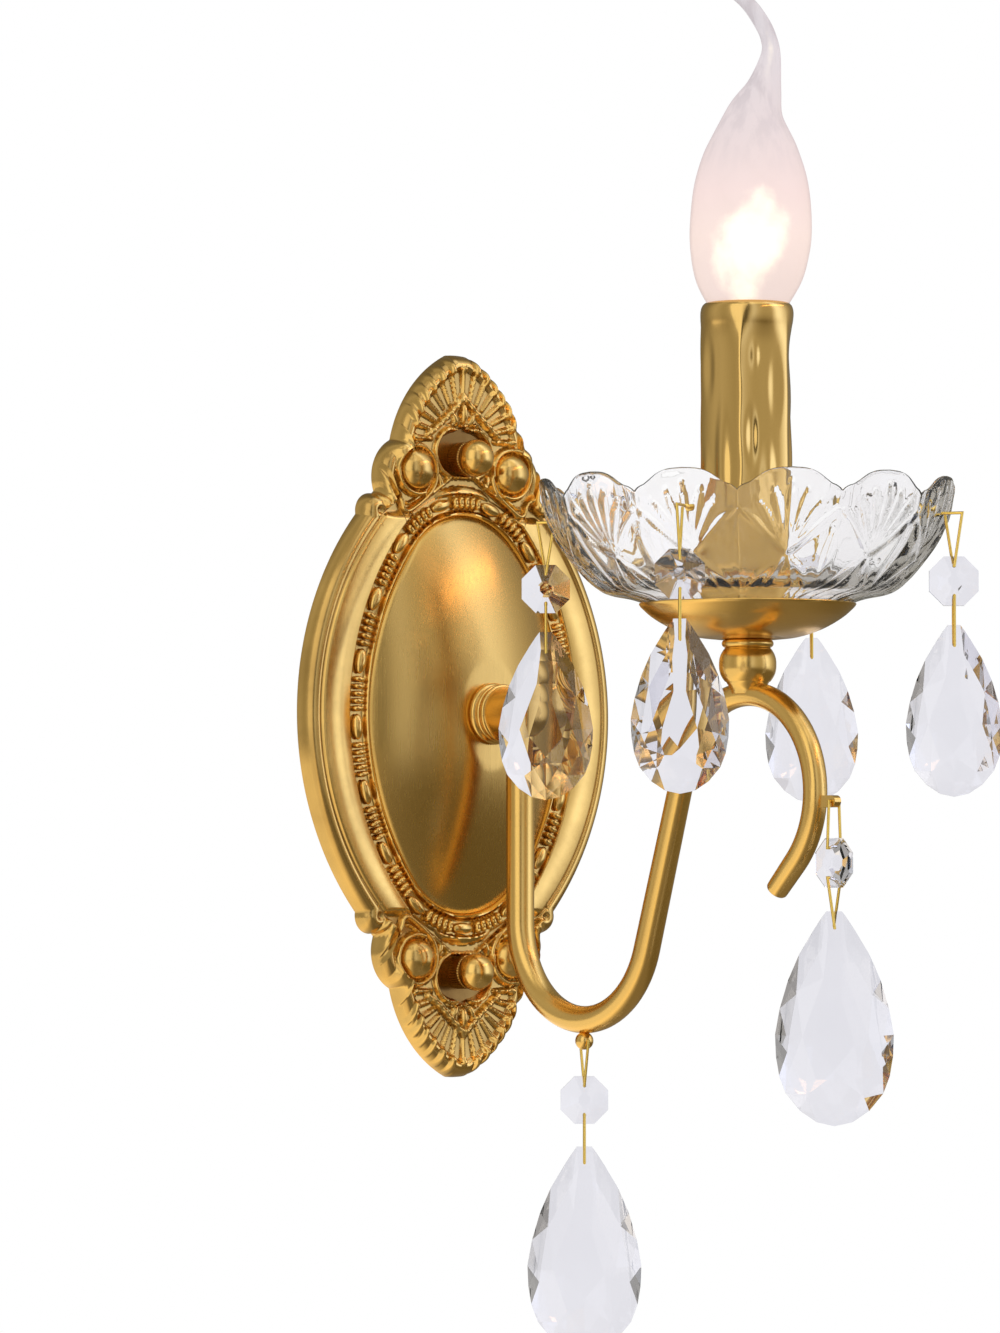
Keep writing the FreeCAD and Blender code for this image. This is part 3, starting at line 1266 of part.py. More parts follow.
def half_thickness_of_drop(height, width):
    rise = width * size["drop_share"] / 2 - size["drop_edge"] / 2
    return size["drop_edge"] / 2 + rise * size["drop_hole_inset"] / (height * size["drop_belly"])


def hang(name, top, top_way, hook, hook_length, octagon_turn, height, width):
    """One pendant: its hook wire, octagon, link wire and drop, hung from the place top."""
    octagon_way = direction(octagon_turn)
    drop_way = direction(-size["view_turn"])
    if top_way.dot(octagon_way) < 0:
        octagon_way = octagon_way * -1
    free = size["wire_radius"] + size["wire_gap"]
    octagon_half = half_thickness_of_octagon() + free
    upper_hole = top - Z * hook_length
    half_span = size["octagon_width"] / 2 - size["octagon_hole_inset"]
    middle = upper_hole - Z * half_span
    lower_hole = middle - Z * half_span
    drop_hole = lower_hole - Z * size["link_length"]
    shaped("hook_wire_" + name, hook(top, top_way, upper_hole, octagon_way, octagon_half))
    stone = octagon()
    stone.Placement = Placement(middle, Rotation(Z, octagon_turn))
    shaped("octagon_" + name, stone)
    if octagon_way.dot(drop_way) < 0:
        drop_way = drop_way * -1
    shaped("link_wire_" + name, loop(lower_hole, octagon_way, octagon_half, drop_hole, drop_way,
                                     half_thickness_of_drop(height, width) + free))
    pear = drop(height, width)
    pear.Placement = Placement(drop_hole + Z * size["drop_hole_inset"],
                               Rotation(Z, -size["view_turn"]))
    shaped("drop_" + name, pear)


def dish_hook(top, top_way, foot, foot_way, foot_half):
    """A headed pin through the glass that bends down, through the octagon and back up."""
    free = size["wire_radius"] + size["wire_gap"]
    near = top - top_way * foot_half
    far = top + top_way * foot_half
    inside = near - top_way * (size["dish_wall"] + 2 * free + size["flute_depth"])
    wire = bent_wire([inside, far, foot + foot_way * foot_half, foot - foot_way * foot_half,
                      near - Z * (size["wire_radius"] + size["wire_clearance"])], closed=False)
    head = Part.makeCylinder(size["head_radius"], 2 * size["wire_radius"], inside, top_way)
    return wire.fuse(head)


def tab_hook(top, top_way, foot, foot_way, foot_half):
    half = size["tab_width"] / 2 + size["wire_radius"] + size["wire_gap"]
    return loop(top, top_way, half, foot, foot_way, foot_half)


def eye_hook(top, top_way, foot, foot_way, foot_half):
    half = size["eye_radius"] + size["wire_radius"] + size["wire_gap"]
    return loop(top, top_way, half, foot, foot_way, foot_half)


standoff = half_thickness_of_octagon() + 2 * (size["wire_radius"] + size["wire_gap"])
names = ["front_left", "front_right", "back_right", "back_left"]
for name, (turn, start) in zip(names, pendant_starts()):
    hang(name, start + direction(turn) * standoff, direction(turn), dish_hook, size["long_hook"],
         -size["view_turn"], size["small_drop_height"], size["small_drop_width"])
hang("tab", tab_pin, direction(-90.0), tab_hook, size["short_hook"], -90.0,
     size["large_drop_height"], size["large_drop_width"])
hang("eye", eye_centre, eye_way, eye_hook, size["short_hook"], -size["view_turn"],
     size["large_drop_height"], size["large_drop_width"])


# --------------------------------------------------------------------------------------------
# Checks and export
# --------------------------------------------------------------------------------------------
doc.recompute()
for item in doc.Objects:
    if "Invalid" in item.State or "Error" in item.State:
        raise RuntimeError("%s could not be worked out: %s" % (item.Label, item.State))
for piece in pieces:
    if piece.Shape.isNull() or not piece.Shape.isValid():
        raise RuntimeError("%s has no valid shape" % piece.Label)
    if not piece.Shape.Solids:
        raise RuntimeError("%s is not a solid" % piece.Label)
for piece in pieces:
    piece.Shape.exportStep(os.path.join("parts", piece.Label + ".step"))
print("%d pieces" % len(pieces))
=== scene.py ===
import math

import bmesh
import bpy
import numpy as np
from mathutils import Matrix, Vector


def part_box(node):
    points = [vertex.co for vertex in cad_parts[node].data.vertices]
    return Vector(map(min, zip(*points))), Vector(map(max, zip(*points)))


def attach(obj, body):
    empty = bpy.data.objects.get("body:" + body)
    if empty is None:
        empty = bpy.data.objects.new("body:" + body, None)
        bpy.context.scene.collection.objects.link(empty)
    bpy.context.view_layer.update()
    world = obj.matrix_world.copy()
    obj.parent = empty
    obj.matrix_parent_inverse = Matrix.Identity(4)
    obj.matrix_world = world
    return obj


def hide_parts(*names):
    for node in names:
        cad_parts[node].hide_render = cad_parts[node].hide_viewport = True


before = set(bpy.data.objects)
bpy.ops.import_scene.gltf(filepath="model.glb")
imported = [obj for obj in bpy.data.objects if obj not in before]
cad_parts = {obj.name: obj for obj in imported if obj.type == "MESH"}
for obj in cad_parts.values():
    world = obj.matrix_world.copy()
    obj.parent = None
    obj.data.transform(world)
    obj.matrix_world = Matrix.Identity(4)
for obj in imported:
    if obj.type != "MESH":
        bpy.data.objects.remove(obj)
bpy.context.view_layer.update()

MM = 0.001
SCENE = bpy.context.scene
CANDLE = Vector((0.0, -133.0, 0.0))             # a point on the candle's axis, in millimetres
RIGHT_OF_VIEW = Vector((0.766, -0.643, 0.0))    # across the picture
INTO_VIEW = Vector((0.643, 0.766, 0.0))         # away from the camera
UP, OUT_OF_WALL = (0, 0, 1), (0, -1, 0)
WHITE = (1.0, 1.0, 1.0)


# ---- Camera and lamps ----
SENSOR = 36.0                               # millimetres
FOCAL, PICTURE_HEIGHT = 6673.0, 1333.0      # in the picture's own pixels
HORIZON = 947.6                             # the picture's row at the camera's height
VIEW_TURN = math.radians(40)
MIDDLE = Vector((0.0, -0.09, 0.0))          # what the lamps face, in metres


def placed(name, data, place, way):
    """An object at a place that looks along a direction."""
    made = bpy.data.objects.new(name, data)
    made.location = place
    made.rotation_mode = "QUATERNION"
    made.rotation_quaternion = way.to_track_quat("-Z", "Y")
    SCENE.collection.objects.link(made)
    return made


def lamp(name, place, width, height, watts, colour=WHITE):
    """A soft rectangular lamp that faces the middle of the object."""
    data = bpy.data.lights.new(name, "AREA")
    data.shape = "RECTANGLE"
    data.size, data.size_y = width, height
    data.energy = watts
    data.color = colour
    placed(name, data, place, MIDDLE - Vector(place))


lens = bpy.data.cameras.new("camera")
lens.sensor_width = SENSOR
lens.lens = SENSOR * FOCAL / PICTURE_HEIGHT
lens.clip_start, lens.clip_end = 0.05, 50.0
tilt = math.atan((HORIZON - PICTURE_HEIGHT / 2) / FOCAL)
SCENE.camera = placed("camera", lens, (-1.2835, -1.5521, -0.070),
                      Vector((math.sin(VIEW_TURN), math.cos(VIEW_TURN), math.tan(tilt))))
SCENE.view_settings.view_transform = "Standard"

lamp("softbox_left", (-1.7, -0.9, 0.7), 1.5, 2.2, 7.2)
lamp("softbox_front", (1.4, -1.7, 0.45), 1.6, 2.2, 1.4)
lamp("softbox_above", (-0.2, -0.9, 1.7), 1.7, 1.3, 3.2, (1.0, 0.98, 0.95))
lamp("warm_strip", (0.70, -1.18, 0.88), 1.7, 0.07, 2.0, (1.0, 0.50, 0.22))


# ---- Shader nodes ----
def feed(tree, inputs, values):
    """Each input that is named is linked to a node's output, or set to a number or a colour."""
    for label, value in values.items():
        socket = inputs[label]
        if isinstance(value, bpy.types.NodeSocket):
            tree.links.new(value, socket)
        else:
            socket.default_value = (*value, 1) if socket.type == "RGBA" else value


def add(tree, kind, values=None, **settings):
    """A new node with its settings, and with its inputs fed."""
    node = tree.nodes.new("ShaderNode" + kind)
    for setting, value in settings.items():
        setattr(node, setting, value)
    feed(tree, node.inputs, values or {})
    return node


def worked(tree, operation, first, second, **settings):
    """The result of one sum on two values."""
    return add(tree, "Math", {0: first, 1: second}, operation=operation, **settings).outputs[0]


def span(tree, value, low, high, out_low=0.0, out_high=1.0, **settings):
    """A value carried from one span to another."""
    return add(tree, "MapRange", {"Value": value, "From Min": low, "From Max": high,
                                  "To Min": out_low, "To Max": out_high},
               **settings).outputs["Result"]


def blend(tree, share, first, second, **settings):
    """Two colours mixed by a share."""
    return add(tree, "Mix", {0: share, 6: first, 7: second}, data_type="RGBA",
               **settings).outputs[2]


def ramp(tree, value, stops, interpolation="LINEAR"):
    """The colour that belongs to a value, from stops of (place, colour)."""
    node = add(tree, "ValToRGB", {"Fac": value})
    node.color_ramp.interpolation = interpolation
    elements = node.color_ramp.elements
    while len(elements) < len(stops):
        elements.new(0.5)
    for element, (place, colour) in zip(elements, stops):
        element.position = place
        element.color = (*colour, 1)
    return node.outputs["Color"]


# ---- The studio round the object ----
THROWN_BACK = 0.25      # the share of white left to a ray that a surface has thrown back
# how light the walls are, once round: the front (-y), the left (-x), the back, the right
WALL_TONES = [(0.0, 0.48), (0.03, 0.58), (0.065, 0.84), (0.085, 0.60), (0.098, 0.10),
              (0.128, 0.10), (0.143, 0.46), (0.16, 0.52), (0.23, 0.52), (0.29, 0.42),
              (0.36, 0.55), (0.45, 0.28), (0.56, 0.18), (0.66, 0.20), (0.73, 0.30), (0.79, 0.56),
              (0.84, 0.84), (0.88, 1.25), (0.905, 1.25), (0.94, 0.50), (1.0, 0.48)]


def seen_through(tree, path):
    """1 for what glass passes straight on, and less once a surface has thrown the ray back."""
    straight = worked(tree, "LESS_THAN", path["Glossy Depth"], 0.5)
    return worked(tree, "MULTIPLY", path["Is Transmission Ray"],
                  worked(tree, "MAXIMUM", straight, THROWN_BACK))


def wall_colour(tone):
    """Light parts of the walls are cool and dark ones warm."""
    cool = min(1.0, max(0.0, (tone - 0.2) / 0.75) ** 2)
    return tone, tone * (0.95 + 0.19 * cool), tone * (0.76 + 0.80 * cool)


def studio_world():
    """White for the camera and through glass, and walls of many tones for the metal."""
    world = bpy.data.worlds.new("studio")
    SCENE.world = world
    world.use_nodes = True
    tree = world.node_tree
    tree.nodes.clear()
    path = add(tree, "LightPath").outputs
    direct = worked(tree, "MAXIMUM", path["Is Camera Ray"], seen_through(tree, path))
    thrown = worked(tree, "MAXIMUM", path["Is Glossy Ray"], path["Is Transmission Ray"])
    way = add(tree, "SeparateXYZ", {0: add(tree, "TexCoord").outputs["Generated"]}).outputs
    turn = worked(tree, "ARCTAN2", way["X"], way["Y"])
    walls = ramp(tree, span(tree, turn, -math.pi, math.pi),
                 [(place, wall_colour(tone)) for place, tone in WALL_TONES])
    ground = ramp(tree, span(tree, way["Z"], -1.0, 1.0),
                  [(0.30, (0.42, 0.37, 0.30)), (0.48, WHITE)])
    walls = blend(tree, 1.0, walls, ground, blend_type="MULTIPLY")
    seen = add(tree, "Background", {"Color": blend(tree, direct, walls, WHITE)})
    room = add(tree, "Background", {"Color": (1.0, 0.99, 0.97), "Strength": 0.75})
    mix = add(tree, "MixShader", {"Fac": worked(tree, "MAXIMUM", direct, thrown),
                                  1: room.outputs[0], 2: seen.outputs[0]})
    add(tree, "OutputWorld", {"Surface": mix.outputs[0]})


studio_world()


# ---- Shared effects ----
def effect(name, inputs, outputs):
    """An empty node group with named sockets: the group, what it is given and its results."""
    group = bpy.data.node_groups.new(name, "ShaderNodeTree")
    for way, sockets in (("INPUT", inputs), ("OUTPUT", outputs)):
        for label, kind in sockets.items():
            group.interface.new_socket(name=label, in_out=way, socket_type="NodeSocket" + kind)
    given, results = group.nodes.new("NodeGroupInput"), group.nodes.new("NodeGroupOutput")
    return group, given.outputs, results.inputs


def grain_effect():
    """Fine strokes of a polishing brush, and slow clouds, as values from 0 to 1."""
    group, given, results = effect(
        "brushed_grain", {"Place": "Vector", "Stroke Size": "Float", "Cloud Size": "Float"},
        {"Strokes": "Float", "Clouds": "Float"})
    for size, label, detail in (("Stroke Size", "Strokes", 3.0), ("Cloud Size", "Clouds", 4.0)):
        noise = add(group, "TexNoise", {"Vector": given["Place"], "Scale": given[size],
                                        "Detail": detail, "Roughness": 0.55})
        feed(group, results, {label: noise.outputs["Fac"]})
    return group


def tone_effect():
    """Two tones of one metal, mixed by clouds, and darker where painted shade is given."""
    group, given, results = effect(
        "metal_tone", {"Light": "Color", "Deep": "Color", "Clouds": "Float", "Painted Shade": "Float"},
        {"Tone": "Color"})
    cloudy = span(group, given["Clouds"], 0.35, 0.75, 0.0, 0.30)
    # painted shade: the given share is added to the clouds' share of the deep colour
    most = worked(group, "ADD", cloudy, given["Painted Shade"], use_clamp=True)
    feed(group, results, {"Tone": blend(group, most, given["Light"], given["Deep"])})
    return group


GRAIN = grain_effect()
TONE = tone_effect()
EVEN = (1, 1, 1)            # a grain that isn't stretched
MOST = (0.3, 0.7)           # the span in which most of a grain's values lie


def blank_material(name):
    """A material: itself, its nodes, its shader, and the places on the object."""
    material = bpy.data.materials.new(name)
    material.use_nodes = True
    tree = material.node_tree
    return material, tree, tree.nodes["Principled BSDF"], add(tree, "TexCoord").outputs


def grain_in(tree, place, stretch, stroke_size, cloud_size):
    """The strokes and the clouds of a grain."""
    mapping = add(tree, "Mapping", {"Vector": place["Object"], "Scale": stretch})
    grain = add(tree, "Group", {"Place": mapping.outputs[0], "Stroke Size": stroke_size,
                                "Cloud Size": cloud_size}, node_tree=GRAIN)
    return grain.outputs["Strokes"], grain.outputs["Clouds"]


def toned(tree, light, deep, clouds):
    """The tone effect in a material, with the material's own two colours."""
    return add(tree, "Group", {"Light": light, "Deep": deep, "Clouds": clouds}, node_tree=TONE)


def raised(tree, shader, height, strength, distance):
    """Fine relief in a surface, no deeper than a distance in metres."""
    bump = add(tree, "Bump", {"Strength": strength, "Distance": distance, "Height": height})
    feed(tree, shader.inputs, {"Normal": bump.outputs[0]})


def metal(name, light, deep, rough, stretch=EVEN, stroke_size=900.0, cloud_size=30.0, bump=0.1,
          painted_shade_depths=None):
    """A polished or brushed metal. A span of depths (low, high) in metres, if given, paints shade
    on what lies deep.
    """
    material, tree, shader, place = blank_material(name)
    strokes, clouds = grain_in(tree, place, stretch, stroke_size, cloud_size)
    tone = toned(tree, light, deep, clouds)
    if painted_shade_depths:
        # painted shade: faces turned to the front get darker the farther back toward the wall
        # they lie
        depth = add(tree, "SeparateXYZ", {0: place["Object"]}).outputs["Y"]
        facing = add(tree, "SeparateXYZ", {0: place["Normal"]}).outputs["Y"]
        shaded = worked(tree, "MULTIPLY", span(tree, depth, painted_shade_depths[1], painted_shade_depths[0], 0.0, 0.95),
                        span(tree, facing, -0.45, -0.8, 0.12, 1.0))
        feed(tree, tone.inputs, {"Painted Shade": shaded})
    feed(tree, shader.inputs, {
        "Base Color": tone.outputs["Tone"], "Metallic": 1.0,
        "Roughness": span(tree, strokes, *MOST, rough * 0.88, rough * 1.14)})
    if bump:
        raised(tree, shader, strokes, bump, 0.0002)
    return material


def glass(name, colour, rough, ior, ripple=0.0, size=80.0, clear=1.0):
    """Clear glass with slow ripples in its surface and a faint tint that changes."""
    material, tree, shader, place = blank_material(name)
    strokes, clouds = grain_in(tree, place, EVEN, size, 25.0)
    paler = [min(1.0, tone + 0.06) for tone in colour]
    feed(tree, shader.inputs, {
        "Base Color": ramp(tree, clouds, [(MOST[0], colour), (MOST[1], paler)]),
        "Transmission Weight": clear, "IOR": ior,
        "Roughness": span(tree, clouds, *MOST, rough * 0.6, rough * 1.4)})
    if ripple:
        raised(tree, shader, strokes, ripple, 0.0003)
    return material


def plain(name, light, deep, rough):
    """Moulded plastic, fibre or ceramic: a fine speckle in colour, gloss and surface."""
    material, tree, shader, place = blank_material(name)
    strokes, clouds = grain_in(tree, place, EVEN, 400.0, 60.0)
    feed(tree, shader.inputs, {
        "Base Color": toned(tree, light, deep, clouds).outputs["Tone"],
        "Roughness": span(tree, strokes, *MOST, rough * 0.85, rough * 1.15)})
    raised(tree, shader, strokes, 0.15, 0.0001)
    return material


def frosted_bulb():
    """Frosted glass with the lamp's glow behind it: warm white low in the middle, then pink."""
    material, tree, shader, place = blank_material("frosted_glass_lit")
    strokes, clouds = grain_in(tree, place, EVEN, 260.0, 62.0)
    drawn = grain_in(tree, place, (1, 1, 0.06), 330.0, 40.0)[0]
    height = add(tree, "SeparateXYZ", {0: place["Object"]}).outputs["Z"]
    rise = span(tree, height, 0.108, 0.209)
    facing = add(tree, "LayerWeight", {"Blend": 0.5}).outputs["Facing"]
    # the glow is strongest low in the middle, and clouds make it uneven
    glow = ramp(tree, rise, [(0.0, (0.72, 0.72, 0.72)), (0.25, WHITE), (0.42, (0, 0, 0))], "EASE")
    glow = worked(tree, "SUBTRACT", glow, worked(tree, "MULTIPLY", facing, 4.6))
    glow = worked(tree, "ADD", glow, span(tree, clouds, *MOST, -0.75, 0.6))
    glow = span(tree, glow, -0.15, 1.35, interpolation_type="SMOOTHSTEP")
    # the frost is darker at its edge and in the streaks of the drawn tip
    edge = span(tree, facing, 0.66, 1.0, 0.0, 0.55)
    streaks = worked(tree, "MULTIPLY", span(tree, drawn, 0.42, 0.62, 0.0, 0.55),
                     span(tree, height, 0.150, 0.180))
    frost = ramp(tree, rise, [
        (0.0, (0.27, 0.22, 0.20)), (0.25, (0.31, 0.25, 0.22)), (0.38, (0.29, 0.23, 0.215)),
        (0.55, (0.235, 0.205, 0.205)), (0.78, (0.21, 0.20, 0.21)), (1.0, (0.20, 0.20, 0.21))])
    frost = blend(tree, worked(tree, "MAXIMUM", edge, streaks), frost, (0.11, 0.10, 0.11))
    feed(tree, shader.inputs, {
        "Emission Color": blend(tree, glow, frost, (0.55, 0.50, 0.38)), "Emission Strength": 2.0,
        "Transmission Weight": 0.25, "IOR": 1.3,
        "Base Color": blend(tree, clouds, (0.30, 0.27, 0.28), (0.36, 0.32, 0.33)),
        "Roughness": span(tree, strokes, *MOST, 0.42, 0.55)})
    return material


GOLD, DEEP_GOLD = (0.86, 0.545, 0.16), (0.64, 0.365, 0.085)
# painted shade on the cast plate and beads: front faces 3.4 mm or less from the wall darken
# almost to the deep colour, fading to none at 6.0 mm
cast_brass = metal("cast_brass", GOLD, (0.17, 0.085, 0.022), 0.21, EVEN, 700, 45, 0.04,
                   (-0.0034, -0.0060))
dome_brass = metal("brushed_dome_brass", (0.69, 0.435, 0.125), (0.50, 0.29, 0.07), 0.25,
                   (1.0, 1.0, 0.02), 1900, 8, 0.0)
turned_brass = metal("turned_brass", GOLD, DEEP_GOLD, 0.22, (0.25, 0.25, 1.0), 1500, 30, 0.02)
tube_brass = metal("bent_tube_brass", GOLD, DEEP_GOLD, 0.24, (1.0, 0.5, 0.5), 2600, 22, 0.0)
sleeve_brass = metal("sleeve_brass", (0.80, 0.52, 0.17), DEEP_GOLD, 0.16, (1, 1, 0.1), 1200, 30,
                     0.02)
wire_gold = metal("wire_gold", (0.95, 0.66, 0.16), (0.72, 0.42, 0.07), 0.18, EVEN, 2500,
                  bump=0.05)
zinc = metal("zinc_steel", (0.62, 0.63, 0.64), (0.45, 0.46, 0.47), 0.30, cloud_size=160,
             bump=0.08)
nickel = metal("nickel", (0.72, 0.69, 0.64), (0.55, 0.52, 0.47), 0.18, cloud_size=90, bump=0.04)
plastic = plain("holder_plastic", (0.80, 0.77, 0.70), (0.68, 0.64, 0.56), 0.42)
fibre = plain("washer_nylon", (0.80, 0.78, 0.73), (0.70, 0.67, 0.62), 0.5)
ceramic = plain("stem_glass_bead", (0.82, 0.84, 0.84), (0.70, 0.73, 0.74), 0.25)
pressed_glass = glass("pressed_glass", (0.95, 0.94, 0.955), 0.01, 1.34, 0.05, 140.0, 0.985)
cut_crystal = glass("cut_crystal", (0.79, 0.785, 0.84), 0.0, 1.50)
bulb_frost = frosted_bulb()

# looks of the solids that stay, by how their names start; the rest are turned brass
NODE_LOOKS = [
    (wire_gold, ("hook_wire_", "link_wire_", "earth_screw")),
    (cut_crystal, ("octagon_", "drop_")),
    (fibre, ("dish_washer_",)),
    (zinc, ("wall_bracket", "bracket_studs", "hub_nipple", "hub_washer", "hub_lock_nut",
            "candle_nipple", "dish_nut", "lampholder_stem")),
    (plastic, ("lampholder_body",)),
    (nickel, ("lampholder_shell", "lampholder_contact", "bulb_base", "bulb_contact",
              "bulb_filament")),
    (ceramic, ("bulb_stem",)),
]
for node_name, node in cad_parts.items():
    look = next((m for m, starts in NODE_LOOKS if node_name.startswith(starts)), turned_brass)
    for slot in node.material_slots:
        slot.material = look
    if not node.material_slots:
        node.data.materials.append(look)


# ---- Making pieces. Shapes are made in millimetres and brought to metres at the end. ----
WELD = 0.0005


def standing(name, shape, look):
    """An object made of a shape and a material."""
    mesh = bpy.data.meshes.new(name)
    shape.to_mesh(mesh)
    shape.free()
    mesh.materials.append(look)
    made = bpy.data.objects.new(name, mesh)
    SCENE.collection.objects.link(made)
    return made


def piece(name, shape, look, nodes=(), body="fixture", slot="antique_brass", crease=38.0):
    """A finished piece from a mesh in millimetres: welded, turned outward, shaded, riding."""
    bmesh.ops.remove_doubles(shape, verts=shape.verts, dist=WELD)
    bmesh.ops.dissolve_degenerate(shape, edges=shape.edges, dist=0.0001)
    bmesh.ops.recalc_face_normals(shape, faces=shape.faces)
    bmesh.ops.scale(shape, vec=(MM, MM, MM), verts=shape.verts)
    limit = math.radians(crease)
    for face in shape.faces:
        face.smooth = True
    for edge in shape.edges:
        edge.smooth = len(edge.link_faces) == 2 and edge.calc_face_angle(0.0) < limit
    made = standing(name, shape, look)
    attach(made, body)
    if nodes:
        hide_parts(*nodes)


def flowing(points, steps=6):
    """Points along a smooth line through the given ones. A point given twice is a corner."""
    line = []
    for place in range(len(points) - 1):
        start, end = Vector(points[place]), Vector(points[place + 1])
        if (end - start).length < 1e-9:
            continue
        before = Vector(points[place - 1]) if place else start
        after = Vector(points[place + 2]) if place + 2 < len(points) else end
        first = (end - before) / 6 if (start - before).length > 1e-9 else (end - start) / 3
        second = (after - start) / 6 if (after - end).length > 1e-9 else (end - start) / 3
        for step in range(steps):
            t = step / steps
            u = 1 - t
            line.append(start * u ** 3 + (start + first) * 3 * u * u * t
                        + (end - second) * 3 * u * t * t + end * t ** 3)
    line.append(Vector(points[-1]))
    return [tuple(spot) for spot in line]


def round_ridge(radius, low, high, height, steps=8):
    """A half round on a turned piece: from low to high along the axis, standing out by height."""
    middle_at, half = (low + high) / 2, (high - low) / 2
    return [(radius + height * math.sin(math.pi * k / steps),
             middle_at - half * math.cos(math.pi * k / steps)) for k in range(steps + 1)]


def turned(name, outline, foot, axis, nodes, look=turned_brass, steps=96, change=None, **rest):
    """An outline of (radius, height), turned round an axis from its foot.

    change(spot) may move each point in millimetres, as a knurl does.
    """
    axis = Vector(axis).normalized()
    side = axis.orthogonal().normalized()
    foot = Vector(foot)
    shape = bmesh.new()
    spots = [shape.verts.new(foot + side * radius + axis * height) for radius, height in outline]
    edges = [shape.edges.new(pair) for pair in zip(spots, spots[1:]) if pair[0].co != pair[1].co]
    bmesh.ops.spin(shape, geom=spots + edges, cent=foot, axis=axis, angle=2 * math.pi,
                   steps=steps, use_merge=True)
    bmesh.ops.remove_doubles(shape, verts=shape.verts, dist=WELD)
    if change:
        for vert in shape.verts:
            vert.co = change(vert.co.copy())
    piece(name, shape, look, nodes, **rest)


def ring_matrix(spot, way, side):
    """Carries a flat ring to a spot, square to a direction."""
    way = way.normalized()
    side = (side - way * side.dot(way)).normalized()
    up = way.cross(side)
    matrix = Matrix((side, up, way)).transposed().to_4x4()
    matrix.translation = spot
    return matrix


def swept(shape, stations, side, sides=32):
    """A round bar through stations of (place, radius, direction), closed at both ends."""
    loops = []
    for place, (spot, radius, way) in enumerate(stations):
        made = bmesh.ops.create_circle(shape, cap_ends=place in (0, len(stations) - 1),
                                       segments=sides, radius=radius,
                                       matrix=ring_matrix(spot, way, side))
        verts = set(made["verts"])
        loops.append([e for e in {e for v in verts for e in v.link_edges}
                      if e.verts[0] in verts and e.verts[1] in verts])
    for low, high in zip(loops, loops[1:]):
        bmesh.ops.bridge_loops(shape, edges=low + high)


def sheet(shape, rows, columns, place):
    """A grid whose every point is moved to place(row, column). Its last row meets its first."""
    made = bmesh.ops.create_grid(shape, x_segments=rows, y_segments=columns, size=1.0)
    for vert in made["verts"]:
        row = round((vert.co.x + 1) / 2 * rows)
        column = round((vert.co.y + 1) / 2 * columns)
        vert.co = place(row % rows, column)


def ring_row(angle, reach, y):
    """Points round the middle of the plate, as arrays of x, y and z."""
    return reach * np.cos(angle), np.broadcast_to(y, angle.shape), reach * np.sin(angle)


def skin(shape, rows, columns):
    """A sheet through rows from ring_row. Where a row goes all the way round, its ends meet."""
    points = len(rows[0][0])
    sheet(shape, len(rows), columns,
          lambda row, column: [axis[column % points] for axis in rows[row]])


# ---- Backplate: a cast shell with a smooth border, a bead ring and two pointed crests ----
# discs of the outline: long sides, flanks and tip of a crest, lobes and shoulders
SIDE_RADIUS, SIDE_OFFSET = 91.0, 31.3
FLANK_RADIUS, FLANK_OFFSET, FLANK_HEIGHT = 39.0, 13.5, 73.5
TIP_RADIUS, TIP_HEIGHT = 30.0, 109.0
LOBE = (19.0, 71.0, 12.5)
SHOULDER = (32.3, 60.5, 5.4)
# height of the field, radius of the rounded edge and thickness of the casting
FIELD, INSET, WALL = 5.5, 3.6, 1.8
# half width, half height and end radius of the bead ring's oval
BEAD = (41.4, 64.2, 29.0)
# heights of the dome's flat seat for the hub and of its full curve, and radius of its bore
SEAT, APEX, BORE = 18.6, 19.6, 4.9


def outline_forms(shrink):
    """The discs whose common parts make up the plate's outline, made smaller by shrink."""
    side = SIDE_RADIUS - shrink
    forms = [[(-SIDE_OFFSET, 0.0, side), (SIDE_OFFSET, 0.0, side)]]
    for up in (1, -1):
        forms.append([(-FLANK_OFFSET, up * FLANK_HEIGHT, FLANK_RADIUS - shrink),
                      (FLANK_OFFSET, up * FLANK_HEIGHT, FLANK_RADIUS - shrink),
                      (0.0, up * (TIP_HEIGHT - TIP_RADIUS), TIP_RADIUS - shrink)])
        for way in (1, -1):
            forms.append([(way * LOBE[0], up * LOBE[1], LOBE[2] - shrink)])
            forms.append([(way * SHOULDER[0], up * SHOULDER[1], SHOULDER[2] - shrink)])
    return forms


def outline_reach(angle, shrink):
    """How far the outline lies from the middle along each angle."""
    cos, sin = np.cos(angle), np.sin(angle)
    reach = np.zeros_like(angle)
    for form in outline_forms(shrink):
        enter, leave = np.full_like(angle, -1e9), np.full_like(angle, 1e9)
        for x, z, radius in form:
            along = x * cos + z * sin
            rest = radius ** 2 - (x * x + z * z - along ** 2)
            half = np.sqrt(np.maximum(rest, 0.0))
            enter = np.maximum(enter, np.where(rest > 0, along - half, 1e9))
            leave = np.minimum(leave, np.where(rest > 0, along + half, -1e9))
        reach = np.maximum(reach, np.where(leave > np.maximum(enter, 0.0), leave, 0.0))
    return reach


def outline_depth(x, z):
    """Distance inside the outline, measured from its nearest arc."""
    depth = np.full_like(x, -1e9)
    for form in outline_forms(0.0):
        inside = np.full_like(x, 1e9)
        for centre_x, centre_z, radius in form:
            inside = np.minimum(inside, radius - np.hypot(x - centre_x, z - centre_z))
        depth = np.maximum(depth, inside)
    return depth


def bead_distance(x, z):
    """Signed distance outside the bead ring's oval."""
    half_width, half_height, end = BEAD
    x, z = np.abs(x), np.abs(z)
    side = (half_width ** 2 + (half_height - end) ** 2 - end ** 2) / (2 * (half_width - end))
    end_centre = half_height - end
    lean = math.atan2(end_centre, side - half_width)
    from_side = np.hypot(x + side - half_width, z) - side
    from_end = np.hypot(x, z - end_centre) - end
    return np.where(np.arctan2(z - end_centre, x) > lean, from_end, from_side)


